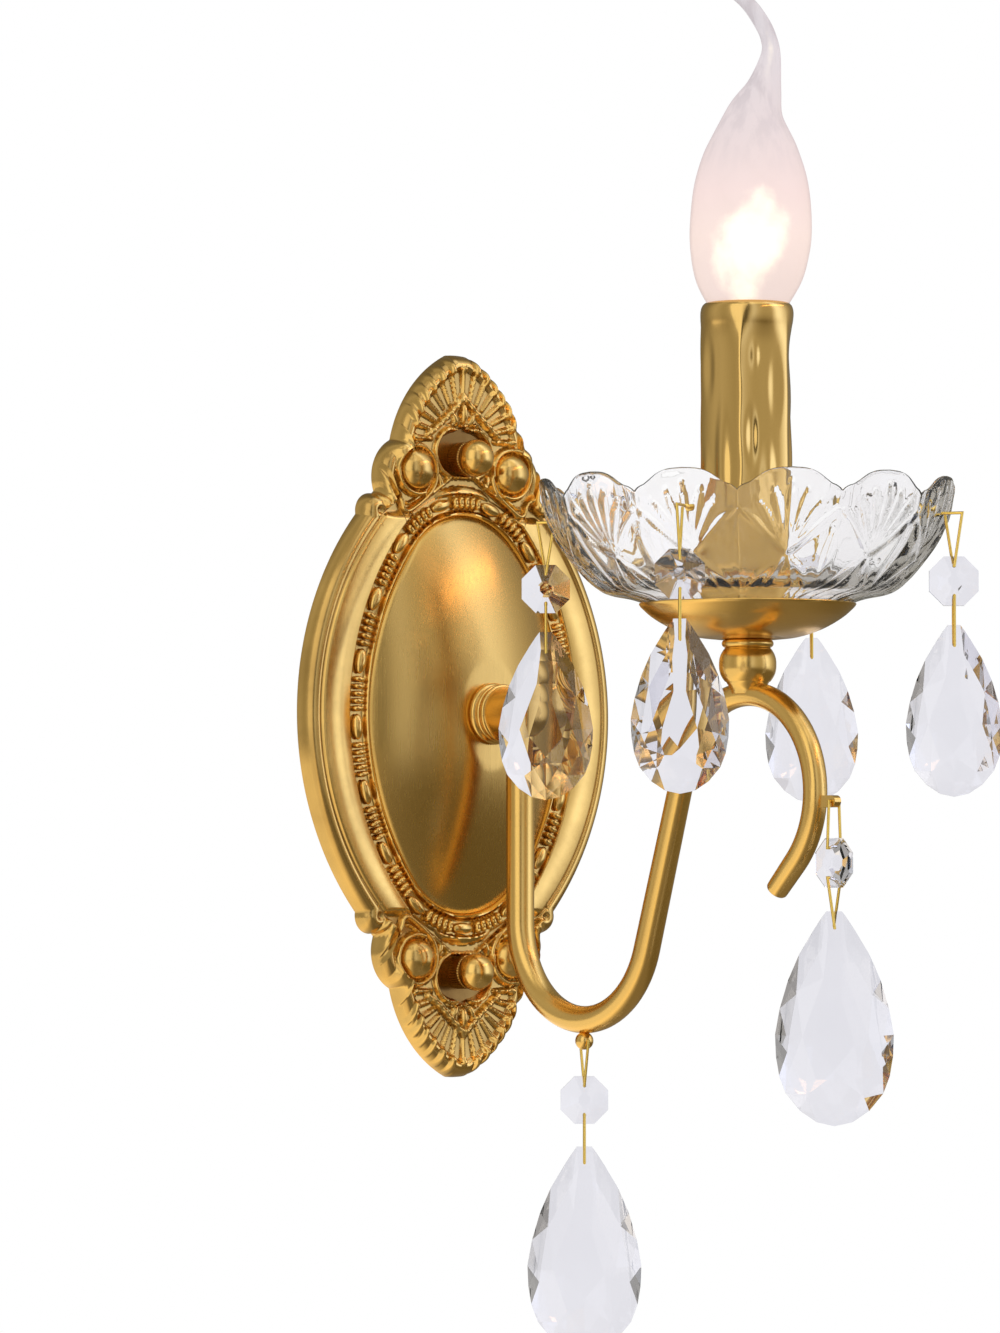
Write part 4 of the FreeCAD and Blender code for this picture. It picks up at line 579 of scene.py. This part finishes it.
def bead_reach(angle, offset):
    """Distance from the middle to the oval, moved outward by offset, along each angle."""
    low, high = np.full_like(angle, 10.0), np.full_like(angle, 90.0)
    for _ in range(40):
        half = (low + high) / 2
        outside = bead_distance(half * np.cos(angle), half * np.sin(angle)) > offset
        high = np.where(outside, half, high)
        low = np.where(outside, low, half)
    return (low + high) / 2


def ridge(x, z, path, width, height, power=1.0):
    """A rounded ridge along a path of (x, z) or (x, z, share of width and height)."""
    path = [(*spot, 1.0) if len(spot) == 2 else spot for spot in path]
    best = np.zeros_like(x)
    for (x0, z0, s0), (x1, z1, s1) in zip(path, path[1:]):
        dx, dz = x1 - x0, z1 - z0
        t = np.clip(((x - x0) * dx + (z - z0) * dz) / (dx * dx + dz * dz), 0, 1)
        share = s0 + (s1 - s0) * t
        gap = np.hypot(x - x0 - t * dx, z - z0 - t * dz) / (width * share)
        lift = height * share * np.cos(np.minimum(gap, 1) * math.pi / 2) ** power
        best = np.maximum(best, lift)
    return best


def mound(x, z, centre, half_width, half_height, height, turn=0.0, power=0.5):
    """An oval rise with a round top."""
    c, s = math.cos(math.radians(turn)), math.sin(math.radians(turn))
    dx, dz = x - centre[0], z - centre[1]
    gap = np.hypot((dx * c + dz * s) / half_width, (dz * c - dx * s) / half_height)
    return height * np.maximum(1 - gap ** 2, 0) ** power


def soft_step(value, low, high):
    """0 below low, 1 above high and a smooth rise between them."""
    t = np.clip((value - low) / (high - low), 0, 1)
    return t * t * (3 - 2 * t)


BOSS = (18.4, 73.4)
SHELL = (0.0, 83.0)
RAYS = 7


def on_circle(centre, radius, degrees):
    """A point of a circle, at a direction in degrees."""
    turn = math.radians(degrees)
    return centre[0] + radius * math.cos(turn), centre[1] + radius * math.sin(turn)


def crest_relief(x, z):
    """Height of the crest's ornament over its ground, for points with x and z above zero."""
    # the shell: thin rays that end in curled balls and reach farther at its top than its sides
    forms = []
    for place in range(RAYS + 1):
        degrees = place * 90.0 / RAYS
        far = 19.9 - 1.1 * np.cos(np.radians(2 * degrees))
        ray = [(*on_circle(SHELL, 12.0, degrees), 0.7),
               (*on_circle(SHELL, far - 0.6, degrees), 1.0)]
        forms += [ridge(x, z, ray, 0.95, 1.15),
                  mound(x, z, on_circle(SHELL, far, degrees), 1.3, 1.3, 1.45)]
    # the shell's inner rim: a thick scalloped ridge up to a point
    rim_line = flowing([(0.0, 96.4), (3.2, 93.0), (6.4, 90.1), (9.8, 87.2), (13.6, 84.4)], 3)
    forms.append(ridge(x, z, rim_line, 1.3, 1.35))
    for place in range(6):
        share = (place + 0.4) / 6
        spot = (13.2 * share, 96.0 - 11.6 * share ** 0.92)
        forms.append(mound(x, z, spot, 1.1, 1.5, 1.7, 48))
    lift = np.maximum.reduce(forms)
    # the bud over the nut, a leaf each side, a fold, and the lip with a cusp over the nut
    lift = lift - mound(x, z, (0.0, 90.0), 4.6, 5.2, 0.8, 0, 1.0) * (lift < 0.2)
    lip = flowing([(5.2, 71.7), (8.8, 74.0), (10.9, 78.4), (9.6, 83.2), (5.4, 86.2),
                   (0.0, 85.0)], 5)
    lift = np.maximum.reduce([
        lift, mound(x, z, (0.0, 91.2), 1.35, 3.5, 1.9) - 0.3,
        mound(x, z, (3.3, 89.4), 1.0, 2.4, 1.1, -26),
        ridge(x, z, [(0.0, 87.0), (2.4, 88.2), (6.0, 87.3)], 0.55, 0.7),
        ridge(x, z, lip, 0.95, 1.15)])
    # the boss in its ring, which opens below into the scroll
    lift = lift - 0.9 * (np.hypot(x - BOSS[0], z - BOSS[1]) < 6.9)
    ring = [on_circle(BOSS, 7.35, degrees) for degrees in range(-112, 191, 12)]
    tail = flowing([(11.0, 74.2), (11.2, 70.4), (13.0, 67.0), (16.8, 63.8), (21.4, 60.9),
                    (23.6, 61.4), (24.6, 64.2), (27.0, 66.4), (30.0, 66.1), (31.2, 63.9),
                    (29.8, 62.2), (28.1, 63.0)], 4)
    hook = flowing([(12.9, 70.6), (14.0, 68.2), (16.6, 65.8), (20.6, 63.4), (22.0, 63.2)], 4)
    lift = np.maximum.reduce([
        lift, mound(x, z, BOSS, 6.3, 6.3, 4.4), ridge(x, z, ring, 1.05, 1.75, 0.8),
        ridge(x, z, tail, 1.05, 1.5), ridge(x, z, hook, 0.6, 0.9),
        mound(x, z, (28.2, 63.6), 1.5, 1.5, 1.7),
        # a leaf beside the nut, and the tent over the smooth crescent
        mound(x, z, (9.1, 70.4), 1.0, 2.6, 1.2, -20),
        ridge(x, z, [(0.0, 71.8), (4.6, 71.8), (12.6, 66.4), (20.6, 60.6)], 0.75, 1.15)])
    # a groove between the tent and the crescent
    lift = lift - ridge(x, z, [(0.0, 70.0), (3.8, 69.9), (11.4, 64.9), (18.4, 60.2)], 1.0, 1.0)
    return np.maximum(lift, mound(x, z, (0.0, 64.4), 10.8, 4.8, 1.35, 0, 0.6) - 0.1)


def plate_height(x, z):
    """Height of the plate's front above the wall, from the dome's foot outward."""
    x, z = np.abs(x), np.abs(z)
    depth = outline_depth(x, z)
    outside = bead_distance(x, z)
    crest = soft_step(z, 58.0, 61.0) * soft_step(z - 0.42 * x, 45.0, 48.0)
    bed = soft_step(outside, 2.1, 3.0)
    # the long sides: a bull-nosed edge, a fine groove and a smooth crowned band
    band = 5.75 + 0.85 * np.sin(np.clip((depth - 4.0) / 12.5, 0, 1) * math.pi)
    side = np.where(depth < 4.7, 5.9, band) - 0.75 * np.exp(-((depth - 4.9) / 0.5) ** 2)
    side = side * bed + 4.9 * (1 - bed)
    # the crests: ornament on a sunk ground, round the nut's recess
    ground = 5.9 - 1.15 * soft_step(depth, 3.6, 5.4)
    crest_height = ground + 1.3 * crest_relief(x, z)
    recess = (x / 10.4) ** 2 + ((z - 78.8 - 0.8 * np.exp(-(x / 2.0) ** 2)) / 7.2) ** 2
    notch = soft_step(recess, 0.84, 1.04)
    crest_height = crest_height * notch + 3.3 * (1 - notch)
    crest_height = crest_height * bed + 4.9 * (1 - bed)
    height = side * (1 - crest) + crest_height * crest
    # a thin raised line just inside the beads
    return height + 1.9 * np.exp(-((outside + 3.4) / 0.62) ** 2)


def plate_sector(name, start, end, columns, rows_across, nodes=()):
    """One sector of the casting: front, rounded edge, back rim and inside, closed at its ends."""
    angle = np.linspace(start, end, columns + 1)
    inner = bead_reach(angle, -4.3)
    field_edge = outline_reach(angle, INSET)
    rows = []
    for share in np.linspace(0, 1, rows_across):
        reach = inner + (field_edge - inner) * share
        height = plate_height(reach * np.cos(angle), reach * np.sin(angle))
        rows.append(ring_row(angle, reach, -height))
    top = -rows[-1][1]
    for step in range(1, 9):
        turn = math.pi / 2 * step / 8
        reach = outline_reach(angle, INSET * (1 - math.sin(turn)))
        rows.append(ring_row(angle, reach, -top * math.cos(turn)))
    back_edge = outline_reach(angle, INSET + WALL)
    for reach, depth in ((back_edge, 0.0), (back_edge, FIELD - WALL),
                         (inner + 2.0, FIELD - WALL), (inner, FIELD - WALL)):
        rows.append(ring_row(angle, reach, -depth))
    shape = bmesh.new()
    skin(shape, rows, columns)
    bmesh.ops.remove_doubles(shape, verts=shape.verts, dist=WELD)
    bmesh.ops.holes_fill(shape, edges=[e for e in shape.edges if e.is_boundary], sides=0)
    piece(name, shape, cast_brass, nodes, crease=50)


def plate_cast():
    """The casting, from its upper crest round by the left."""
    half = math.radians(37)
    up, left = math.pi / 2, math.pi
    plate_sector("plate_crest_upper", up - half, up + half, 400, 116, ["backplate"])
    plate_sector("plate_side_left", up + half, left + up - half, 150, 90)
    plate_sector("plate_crest_lower", left + up - half, left + up + half, 400, 116)
    plate_sector("plate_side_right", left + up + half, 2 * left + up - half, 150, 90)


def dome_height(x, z, thinner=0.0):
    """Height of the dome's curve above the wall, or of its inside."""
    half_width, half_height = BEAD[0] - 4.6, BEAD[1] - 4.6
    rise = APEX - FIELD
    across = (half_width ** 2 + rise ** 2) / (2 * rise)
    along = (half_height ** 2 + rise ** 2) / (2 * rise)
    round_way = along - across + np.sqrt(np.maximum((across - thinner) ** 2 - x ** 2, 0))
    return np.sqrt(np.maximum(round_way ** 2 - z ** 2, 0)) - (along - APEX)


def plate_dome():
    """The smooth dome inside the bead ring, front and inside, open for the hub's thread."""
    columns = 256
    angle = np.linspace(0, 2 * math.pi, columns, endpoint=False)
    outer, foot = bead_reach(angle, -4.15), bead_reach(angle, -4.7)

    def across(share, thinner, low, high):
        reach = BORE + (foot - BORE) * share
        height = dome_height(reach * np.cos(angle), reach * np.sin(angle), thinner)
        return ring_row(angle, reach, -np.clip(height, low, high))

    rows = [ring_row(angle, outer, -(FIELD - WALL)), ring_row(angle, outer, -FIELD + 0.6),
            across(1.0, 0.0, FIELD - 0.6, None)]
    rows += [across(share, 0.0, FIELD - 0.4, SEAT) for share in np.linspace(0.97, 0.0, 34)]
    rows += [across(share, WALL, FIELD - WALL, SEAT - WALL)
             for share in np.linspace(0.0, 0.93, 12)]
    shape = bmesh.new()
    skin(shape, rows, columns)
    piece("plate_dome", shape, dome_brass, crease=50)


def oval_walk(spacing):
    """Places and directions along the bead ring's oval, evenly spaced."""
    angle = np.linspace(0, 2 * math.pi, 4001)
    reach = bead_reach(angle, 0.0)
    x, z = reach * np.cos(angle), reach * np.sin(angle)
    run = np.concatenate([[0], np.cumsum(np.hypot(np.diff(x), np.diff(z)))])
    count = int(round(run[-1] / spacing))
    at = np.linspace(0, run[-1], count, endpoint=False)
    walk_x, walk_z = np.interp(at, run, x), np.interp(at, run, z)
    ahead_x, ahead_z = np.interp(at + 0.2, run, x), np.interp(at + 0.2, run, z)
    return [(walk_x[k], walk_z[k], math.atan2(ahead_z[k] - walk_z[k], ahead_x[k] - walk_x[k]))
            for k in range(count)]


def bead_ring():
    """Long smooth bars between runs of small beads, in their bed round the dome."""
    shape = bmesh.new()
    half_period, bar_step, spacing = 9, 4, 1.05

    def bead(x, z, turn, half_length, half_width, half_height, sides):
        made = bmesh.ops.create_uvsphere(shape, u_segments=sides, v_segments=max(sides // 2, 6),
                                         radius=1.0)
        matrix = (Matrix.Translation((x, -5.65, z)) @ Matrix.Rotation(-turn, 4, "Y")
                  @ Matrix.Diagonal((half_length, half_height, half_width, 1)))
        bmesh.ops.transform(shape, matrix=matrix, verts=made["verts"])

    steps = len(oval_walk(spacing))
    whole = steps // (2 * half_period) * 2 * half_period
    for place, (x, z, turn) in enumerate(oval_walk(spacing * steps / whole)):
        step = (place + half_period) % (2 * half_period)
        if step == bar_step:
            bead(x, z, turn, 3.9, 1.75, 1.6, 20)
        elif step > 2 * bar_step and step % 2 == 1:
            bead(x, z, turn, 0.98, 1.95, 1.55, 10)
            for off in (-1.0, 1.0):
                bead(x + off * math.sin(turn), z - off * math.cos(turn), turn, 0.8, 0.9, 1.8, 8)
    piece("bead_ring", shape, cast_brass, crease=60)


plate_cast()
plate_dome()
bead_ring()


# ---- Ball nuts, hub, arm and neck ----
def ball_nut(node, up):
    """A ball on a collar with a fine knurl."""
    foot = Vector((0.0, -3.3, up * 77.3))
    centre, radius, steps = 7.95, 5.6, 120
    outline = [(0.0, 0.0), (4.6, 0.0), (5.1, 0.5), (5.1, 5.0), (4.7, 5.4)]
    for degrees in range(-27, 91, 9):
        turn = math.radians(degrees)
        outline.append((radius * math.cos(turn), centre + radius * math.sin(turn) * 0.96))
    outline.append((0.0, outline[-1][1]))

    def knurl(spot):
        out = Vector((spot.x, 0, spot.z - foot.z))
        if 5.0 < out.length < 5.2 and 0.3 < foot.y - spot.y < 5.2:
            step = round(math.atan2(out.z, out.x) / (2 * math.pi) * steps)
            spot -= out.normalized() * 0.5 * (step % 3 == 0)
        return spot

    turned(node + "_skin", outline, foot, OUT_OF_WALL, [node], steps=steps, change=knurl,
           body=node + "_turning", slot="plain_brass", crease=20)


ball_nut("ball_nut_upper", 1)
ball_nut("ball_nut_lower", -1)

hub_outline = [
    (BORE, 0.0), (8.3, 0.0), *round_ridge(8.3, 0.0, 2.3, 0.95), (8.05, 2.55),
    *round_ridge(8.1, 2.8, 4.2, 0.65), (8.0, 4.5), *round_ridge(8.1, 4.8, 6.2, 0.65), (7.95, 6.5),
    *flowing([(8.0, 6.8), (8.0, 6.8), (8.0, 14.6), (7.75, 16.3), (6.6, 18.9), (4.4, 20.8),
              (2.0, 21.42), (0.0, 21.5)], 5),
    (0.0, 11.0), (BORE, 11.0), (BORE, 0.0)]
turned("hub_turning", hub_outline, (0, -SEAT, 0), OUT_OF_WALL, ["hub_collar"])


def arm_bar():
    """The tube as one smooth bar: down, round the U, up, over the crest and into the hook."""
    first, second = Vector((0, -61.1, -62.0)), Vector((0, -133.0, -25.7))
    low, high = 29.2, 28.4
    gap = second - first
    slope = math.atan2(gap.z, -gap.y)
    lean = math.pi / 2 - slope - math.asin((low + high) / gap.length)
    stations = []
    end_turn = math.radians(45)
    sweep = math.pi - lean + end_turn

    def bend(centre, reach, angle, up, radius):
        """A station on the U, where up is -1, or on the crest, where it is 1."""
        cos, sin = math.cos(angle), math.sin(angle)
        stations.append((centre + Vector((0, cos, up * sin)) * reach, radius,
                         Vector((0, -sin, up * cos))))

    for share in np.linspace(0, 1, 8):
        stations.append((Vector((0, -31.9, -5.0 - 57.0 * share)), 4.25 - 0.1 * share,
                         Vector((0, 0, -1))))
    for step in range(1, 49):
        bend(first, low, (math.pi - lean) * step / 48, -1, 4.15 - 0.25 * step / 48)
    foot = stations[-1][0]
    head = second + Vector((0, math.cos(lean), math.sin(lean))) * high
    way = (head - foot).normalized()
    for share in np.linspace(0, 1, 12)[1:-1]:
        stations.append((foot.lerp(head, share), 3.9 - 0.35 * share, way))
    for step in range(57):
        bend(second, high, lean + sweep * step / 56, 1, 3.55 - 0.1 * step / 56)
    end = stations[-1][0]
    tail = Vector((0, math.sin(end_turn), -math.cos(end_turn)))
    for along, radius in ((5.0, 3.35), (10.0, 3.25), (11.0, 3.2), (11.35, 3.0), (11.48, 2.6)):
        stations.append((end + tail * along, radius, tail))
    shape = bmesh.new()
    swept(shape, stations, Vector((1, 0, 0)), 40)
    piece("arm_bar", shape, tube_brass, ["arm_tube"], crease=50)


arm_bar()

EYE_RADIUS = 2.7
eye_outline = [(0.0, -2.62), *(on_circle((0.0, 0.0), EYE_RADIUS, a) for a in range(-70, 71, 10)),
               (0.0, 2.62)]
turned("eye_ball_skin", eye_outline, (0, -61.1, -97.41), UP, ["eye_ball"], steps=40)

NECK_BORE = 4.1
neck_outline = [
    (NECK_BORE, 6.2),
    *((6.5 + 1.75 * (1 - abs(k / 10) ** 2.4), 11.05 + 4.85 * k / 10) for k in range(-10, 11)),
    (NECK_BORE, 15.9), (NECK_BORE, 6.2)]
turned("neck_ball_skin", neck_outline, CANDLE, UP, ["neck_ball"])
ring_outline = [(NECK_BORE, 15.92), *round_ridge(6.3, 15.92, 18.3, 1.15, 10),
                (NECK_BORE, 18.3), (NECK_BORE, 15.92)]
turned("neck_ring_skin", ring_outline, CANDLE, UP, ["neck_ring"])

saddle_outline = [(0.0, 2.75), (4.6, 2.75),
                  *flowing([(4.6, 2.75), (5.0, 4.2), (6.2, 6.1), (6.3, 7.05)], 4), (0.0, 7.05)]
turned("arm_saddle_skin", saddle_outline, CANDLE, UP, ["arm_saddle"], tube_brass, steps=64)

cup_outline = [
    (4.2, 18.32),
    *flowing([(9.0, 18.32), (9.0, 18.32), (15.0, 19.1), (21.5, 21.3), (27.0, 24.4), (30.4, 27.3),
              (31.2, 28.35)], 7),
    (31.1, 28.62), (30.75, 28.7),
    *flowing([(30.35, 28.5), (29.4, 27.7), (26.2, 25.2), (20.9, 22.2), (14.7, 19.95), (9.0, 19.2),
              (9.0, 19.2)], 7),
    (4.2, 19.2), (4.2, 18.32)]
turned("cup_bowl", cup_outline, CANDLE, UP, ["cup"], steps=128)


# ---- Glass dish: twelve lobes, with leaves pressed into the outside ----
LOBES = 12
RIM_RADIUS, RIM_HEIGHT = 60.3, 63.3
# outlines of the outside, from the floor up, and of the inside, from the rim down
DISH_OUTER = flowing([(13.0, 20.6), (13.0, 20.6), (31.6, 29.2), (43.5, 32.7), (53.0, 43.2),
                      (58.4, 53.7), (RIM_RADIUS, RIM_HEIGHT)], 14)
DISH_INNER = flowing([(59.0, 63.3), (55.6, 54.2), (50.2, 44.5), (41.8, 36.1), (30.4, 32.4),
                      (14.6, 24.0), (14.6, 24.0)], 8)
DISH_FLOOR = [(4.55, 24.0), (4.55, 20.6)]
# how far the rim dips between the middle of a lobe and its edge
RIM_DIP = np.array(flowing([(0.0, 0.0), (0.28, 0.3), (0.48, 1.3), (0.64, 2.9), (0.77, 4.2),
                            (0.87, 4.7), (0.95, 5.4), (1.0, 6.2)], 4))


def lobe_place(angle):
    """How far a direction lies from its lobe's middle: from -1 to 1."""
    turn = (math.degrees(angle) + 60.0) / (360.0 / LOBES)
    return 2 * (turn - round(turn))


def leaf(u, z, foot, tip, half_width, depth):
    """A pointed oval leaf pressed into the glass, between two points of the unrolled side."""
    du, dz = tip[0] - foot[0], tip[1] - foot[1]
    length = math.hypot(du, dz)
    along = ((u - foot[0]) * du + (z - foot[1]) * dz) / length / length
    if along <= 0 or along >= 1:
        return 0.0
    off = abs((u - foot[0]) * dz - (z - foot[1]) * du) / length
    width = half_width * math.sin(math.pi * along ** 0.75) ** 0.8
    return depth * (1 - (off / width) ** 2) if off < width else 0.0


def pressed(place, z):
    """How deep the pattern is pressed at a place of one lobe and a height."""
    half_lobe, node = 15.2, (0.0, 40.0)
    u = abs(place) * half_lobe
    rays = [leaf(u, z, node, tip, wide, 0.78) for tip, wide in (
        ((0.0, 60.5), 1.9), ((5.4, 59.3), 1.8), ((10.0, 56.0), 1.7), ((14.6, 52.5), 1.3),
        ((15.0, 28.5), 1.3), ((7.0, 29.0), 1.2))]
    return max(*rays, leaf(u, z, (half_lobe, 53.0), (3.5, 43.5), 1.2, 0.65),
               leaf(u, z, (half_lobe, 33.0), (half_lobe, 50.0), 2.6, 0.4))


def glass_dish():
    """The dish as one closed sheet: outside, rim, inside and the edge of its middle hole."""
    columns = LOBES * 44
    outer_rows, rim_rows = len(DISH_OUTER), 3
    wall_rows = outer_rows + rim_rows + len(DISH_INNER)

    def wall_spot(row, place):
        """Radius and height of a point of the wall."""
        dip = float(np.interp(abs(place), RIM_DIP[:, 0], RIM_DIP[:, 1]))
        outside = row < outer_rows
        if outside:
            radius, level = DISH_OUTER[row]
        elif row < outer_rows + rim_rows:
            turn = math.pi * (row - outer_rows + 1) / 4
            radius = 59.65 + 0.65 * math.cos(turn)
            level = RIM_HEIGHT + 0.55 * math.sin(turn)
        else:
            radius, level = DISH_INNER[row - outer_rows - rim_rows]
        share = max(0.0, (level - 29.0) / (RIM_HEIGHT - 29.0))
        dipped = level - dip * min(share, 1.0) ** 1.6
        radius = radius * (1 - 1.9 * place ** 2 / RIM_RADIUS * (1 if outside else 0.75))
        top = 63.1 - dip
        if outside and 27.0 < dipped < top:
            fade = min(1.0, (top - dipped) / 1.5) * min(1.0, (dipped - 27.0) / 2.0)
            radius -= pressed(place, dipped) * fade
        return radius, dipped

    def spot(row, column):
        angle = 2 * math.pi * (column % columns) / columns
        radius, level = (wall_spot(row, lobe_place(angle)) if row < wall_rows
                         else DISH_FLOOR[row - wall_rows])
        return Vector((radius * math.sin(angle), CANDLE.y - radius * math.cos(angle), level))

    shape = bmesh.new()
    sheet(shape, wall_rows + len(DISH_FLOOR), columns, spot)
    piece("dish_pressed", shape, pressed_glass, ["glass_dish"], slot="pressed_glass", crease=45)


glass_dish()


# ---- Candle sleeve and bulb ----
SLEEVE_FOOT, SLEEVE_RADIUS = 24.0, 13.35
# directions of the sleeve's soft corners, in degrees round from the camera's side
CORNERS = (-84.0, -10.4, 56.0, 121.0, 190.0, 276.0)
# runs of wax: direction, height, half width in degrees, half height, rise
WAX_RUNS = [(-38, 66, 17, 24, 1.1), (-64, 96, 14, 12, -0.6), (-70, 58, 13, 18, 0.8),
            (4, 76, 11, 11, -1.0), (26, 60, 15, 20, 1.0), (38, 90, 14, 14, -0.5),
            (8, 99, 9, 6, 0.5), (74, 70, 14, 22, 0.9), (110, 88, 16, 20, 0.8),
            (150, 62, 15, 24, 1.0), (-110, 80, 16, 22, 0.9), (-150, 64, 14, 20, 1.0),
            (178, 92, 14, 14, -0.6)]


def candle_sleeve():
    """A metal sleeve with broad soft flats between rounded corners, as melted wax leaves them."""
    outline = [
        (11.5, SLEEVE_FOOT), (12.4, SLEEVE_FOOT), (13.3, 24.05),
        *((SLEEVE_RADIUS, SLEEVE_FOOT + 84.0 * k / 60) for k in range(1, 61)),
        *flowing([(SLEEVE_RADIUS, 108.0), (13.5, 110.2), (13.45, 112.4), (13.0, 114.0),
                  (12.2, 114.9), (11.7, 114.95)], 4)[1:],
        (11.5, 113.0), (11.5, SLEEVE_FOOT)]

    def melt(spot):
        out = Vector((spot.x, spot.y - CANDLE.y, 0))
        if out.length < 12.0 or spot.z < 24.02:
            return spot
        angle = math.degrees(math.atan2(out.dot(RIGHT_OF_VIEW), out.dot(-INTO_VIEW)))
        turn = angle + 360 if angle < CORNERS[0] else angle
        low = max(c for c in CORNERS if c <= turn + 1e-6)
        high = min([c for c in CORNERS if c > turn + 1e-6] or [CORNERS[-1]])
        half = max((high - low) / 2, 1.0)
        flat = 12.0 + 1.55 * (abs(turn - (low + high) / 2) / half) ** 1.7
        # flats and runs give way to the round lip near the top
        lip = 1 - 1.0 / (1 + math.exp((spot.z - 107.0) / 2.2))
        radius = flat * (1 - lip) + out.length * lip
        run = 0.16 * math.sin(spot.z * 0.21 + low) * math.sin(spot.z * 0.083 + 0.05 * low)
        for at, level, wide, tall, height in WAX_RUNS:
            gap = math.hypot((angle - at) / wide, (spot.z - level) / tall)
            run += height * math.cos(min(gap, 1.0) * math.pi / 2) ** 2
        radius = max(radius + 0.85 * run * (1 - lip), 11.75)
        return Vector((0, 0, spot.z)) + CANDLE + out.normalized() * min(radius, 13.85)

    turned("sleeve_melted", outline, CANDLE, UP, ["candle_sleeve"], sleeve_brass, steps=180,
           change=melt, crease=60)


candle_sleeve()


def bulb_glass():
    """Flame bulb with a bent tip, as one frosted skin."""
    # radius, height, and how far the middle is shifted to the right
    profile = [(6.3, 108.45, 0.0), (8.6, 110.6, 0.0), (11.6, 114.6, 0.1), (15.2, 121.4, 0.3),
               (17.0, 129.0, 0.7), (17.55, 137.0, 1.1), (16.5, 148.8, 1.3), (13.6, 158.8, 1.6),
               (8.7, 169.0, 2.4), (5.1, 177.5, 5.0), (2.9, 186.6, 6.9), (2.35, 191.7, 6.3),
               (2.3, 196.5, 4.1), (2.1, 201.7, 0.3), (1.5, 206.2, -5.2), (0.9, 208.8, -7.4)]
    line = flowing(profile, 7)
    stations = []
    for behind, here, ahead in zip(line[:1] + line, line, line[1:] + line[-1:]):
        radius, level, shift = here
        way = Vector((0, 0, ahead[1] - behind[1])) + RIGHT_OF_VIEW * (ahead[2] - behind[2])
        stations.append((CANDLE + Vector((0, 0, level)) + RIGHT_OF_VIEW * shift, radius, way))
    shape = bmesh.new()
    swept(shape, stations, INTO_VIEW, 72)
    piece("bulb_frosted", shape, bulb_frost, ["bulb_glass"], "bulb", "frosted_glass", 60)


bulb_glass()


# ---- Pear drops: a broad smooth table in front, a cut back ----
# the outline's right half: share of the half width, share of the height from the top
PEAR = flowing([(0.13, 0.012), (0.22, 0.045), (0.35, 0.10), (0.59, 0.21), (0.78, 0.33),
                (0.92, 0.46), (1.0, 0.58), (0.985, 0.68), (0.93, 0.77), (0.82, 0.85),
                (0.58, 0.93), (0.30, 0.982), (0.0, 1.0)], 1)
BELLY = 0.60


def pear_drop(node, body):
    """A drop cut as the hull of rings of corners: two at its edge, two in front, two behind."""
    low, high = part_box(node)
    low, high = low / MM, high / MM
    middle, height = (low + high) / 2, high.z - low.z
    width = 27.8 if height < 55 else 34.0
    half_depth = width * 0.16
    outline = PEAR + [(-half, level) for half, level in PEAR[-2::-1]]

    def ring(places, scale, depth):
        """Corners of the outline, drawn in to the belly and set behind the middle plane."""
        corners = []
        for half, level in (outline[k] for k in places):
            level = BELLY + (level - BELLY) * scale
            corners.append(Vector((middle.x, middle.y, high.z - level * height))
                           + RIGHT_OF_VIEW * (half * scale) * width / 2 * 0.985
                           + INTO_VIEW * depth)
        return corners

    count = len(outline)
    points = ring(range(count), 1.0, 0.25) + ring(range(count), 1.0, -0.25)
    points += ring(range(0, count, 2), 0.82, -half_depth * 0.45)
    points += ring((2, 6, 10, 14, 18, 22), 0.56, -half_depth * 0.95)
    points += ring((1, 4, 7, 10, 14, 17, 20, 23), 0.74, half_depth * 0.55)
    points += ring((2, 7, 12, 17, 22), 0.36, half_depth * 0.96)
    shape = bmesh.new()
    hull = bmesh.ops.convex_hull(shape, input=[shape.verts.new(point) for point in points])
    spare = {v for v in hull["geom_interior"] + hull["geom_unused"]
             if isinstance(v, bmesh.types.BMVert)}
    bmesh.ops.delete(shape, geom=list(spare), context="VERTS")
    bmesh.ops.dissolve_limit(shape, angle_limit=math.radians(1.5), verts=shape.verts,
                             edges=shape.edges)
    piece(node + "_cut", shape, cut_crystal, [node], body, "cut_crystal", 2)


for place in ("front_left", "front_right", "back_right", "back_left", "tab", "eye"):
    pear_drop("drop_" + place, "drop_" + place + "_hanging")


# ---- Floor and end ----
def studio_floor():
    """Pale paint with the object's shadow. Metal sees it darken to one side, glass sees white."""
    material, tree, shader, place = blank_material("floor_paint")
    feed(tree, shader.inputs, {"Base Color": (0.80, 0.79, 0.77), "Roughness": 0.9})
    path = add(tree, "LightPath").outputs
    across = add(tree, "VectorMath", {0: place["Object"], 1: RIGHT_OF_VIEW},
                 operation="DOT_PRODUCT").outputs["Value"]
    fall = [(spot, (tone, tone * 0.90, tone * 0.72))
            for spot, tone in ((0.36, 0.80), (0.44, 0.36), (0.52, 0.16), (0.70, 0.16))]
    fall = [(0.15, (0.65, 0.62, 0.56)), *fall, (0.85, (0.11, 0.095, 0.06))]
    screen = add(tree, "Emission", {"Color": ramp(tree, span(tree, across, -1.0, 1.0), fall),
                                    "Strength": 1.6})
    in_metal = add(tree, "MixShader", {"Fac": path["Is Glossy Ray"], 1: shader.outputs[0],
                                       2: screen.outputs[0]})
    in_glass = add(tree, "MixShader", {"Fac": seen_through(tree, path), 1: in_metal.outputs[0],
                                       2: add(tree, "Emission").outputs[0]})
    feed(tree, tree.nodes["Material Output"].inputs, {"Surface": in_glass.outputs[0]})
    shape = bmesh.new()
    bmesh.ops.create_grid(shape, x_segments=1, y_segments=1, size=3.0)
    floor = standing("floor", shape, material)
    floor.location = (0, 0, -0.6)


studio_floor()
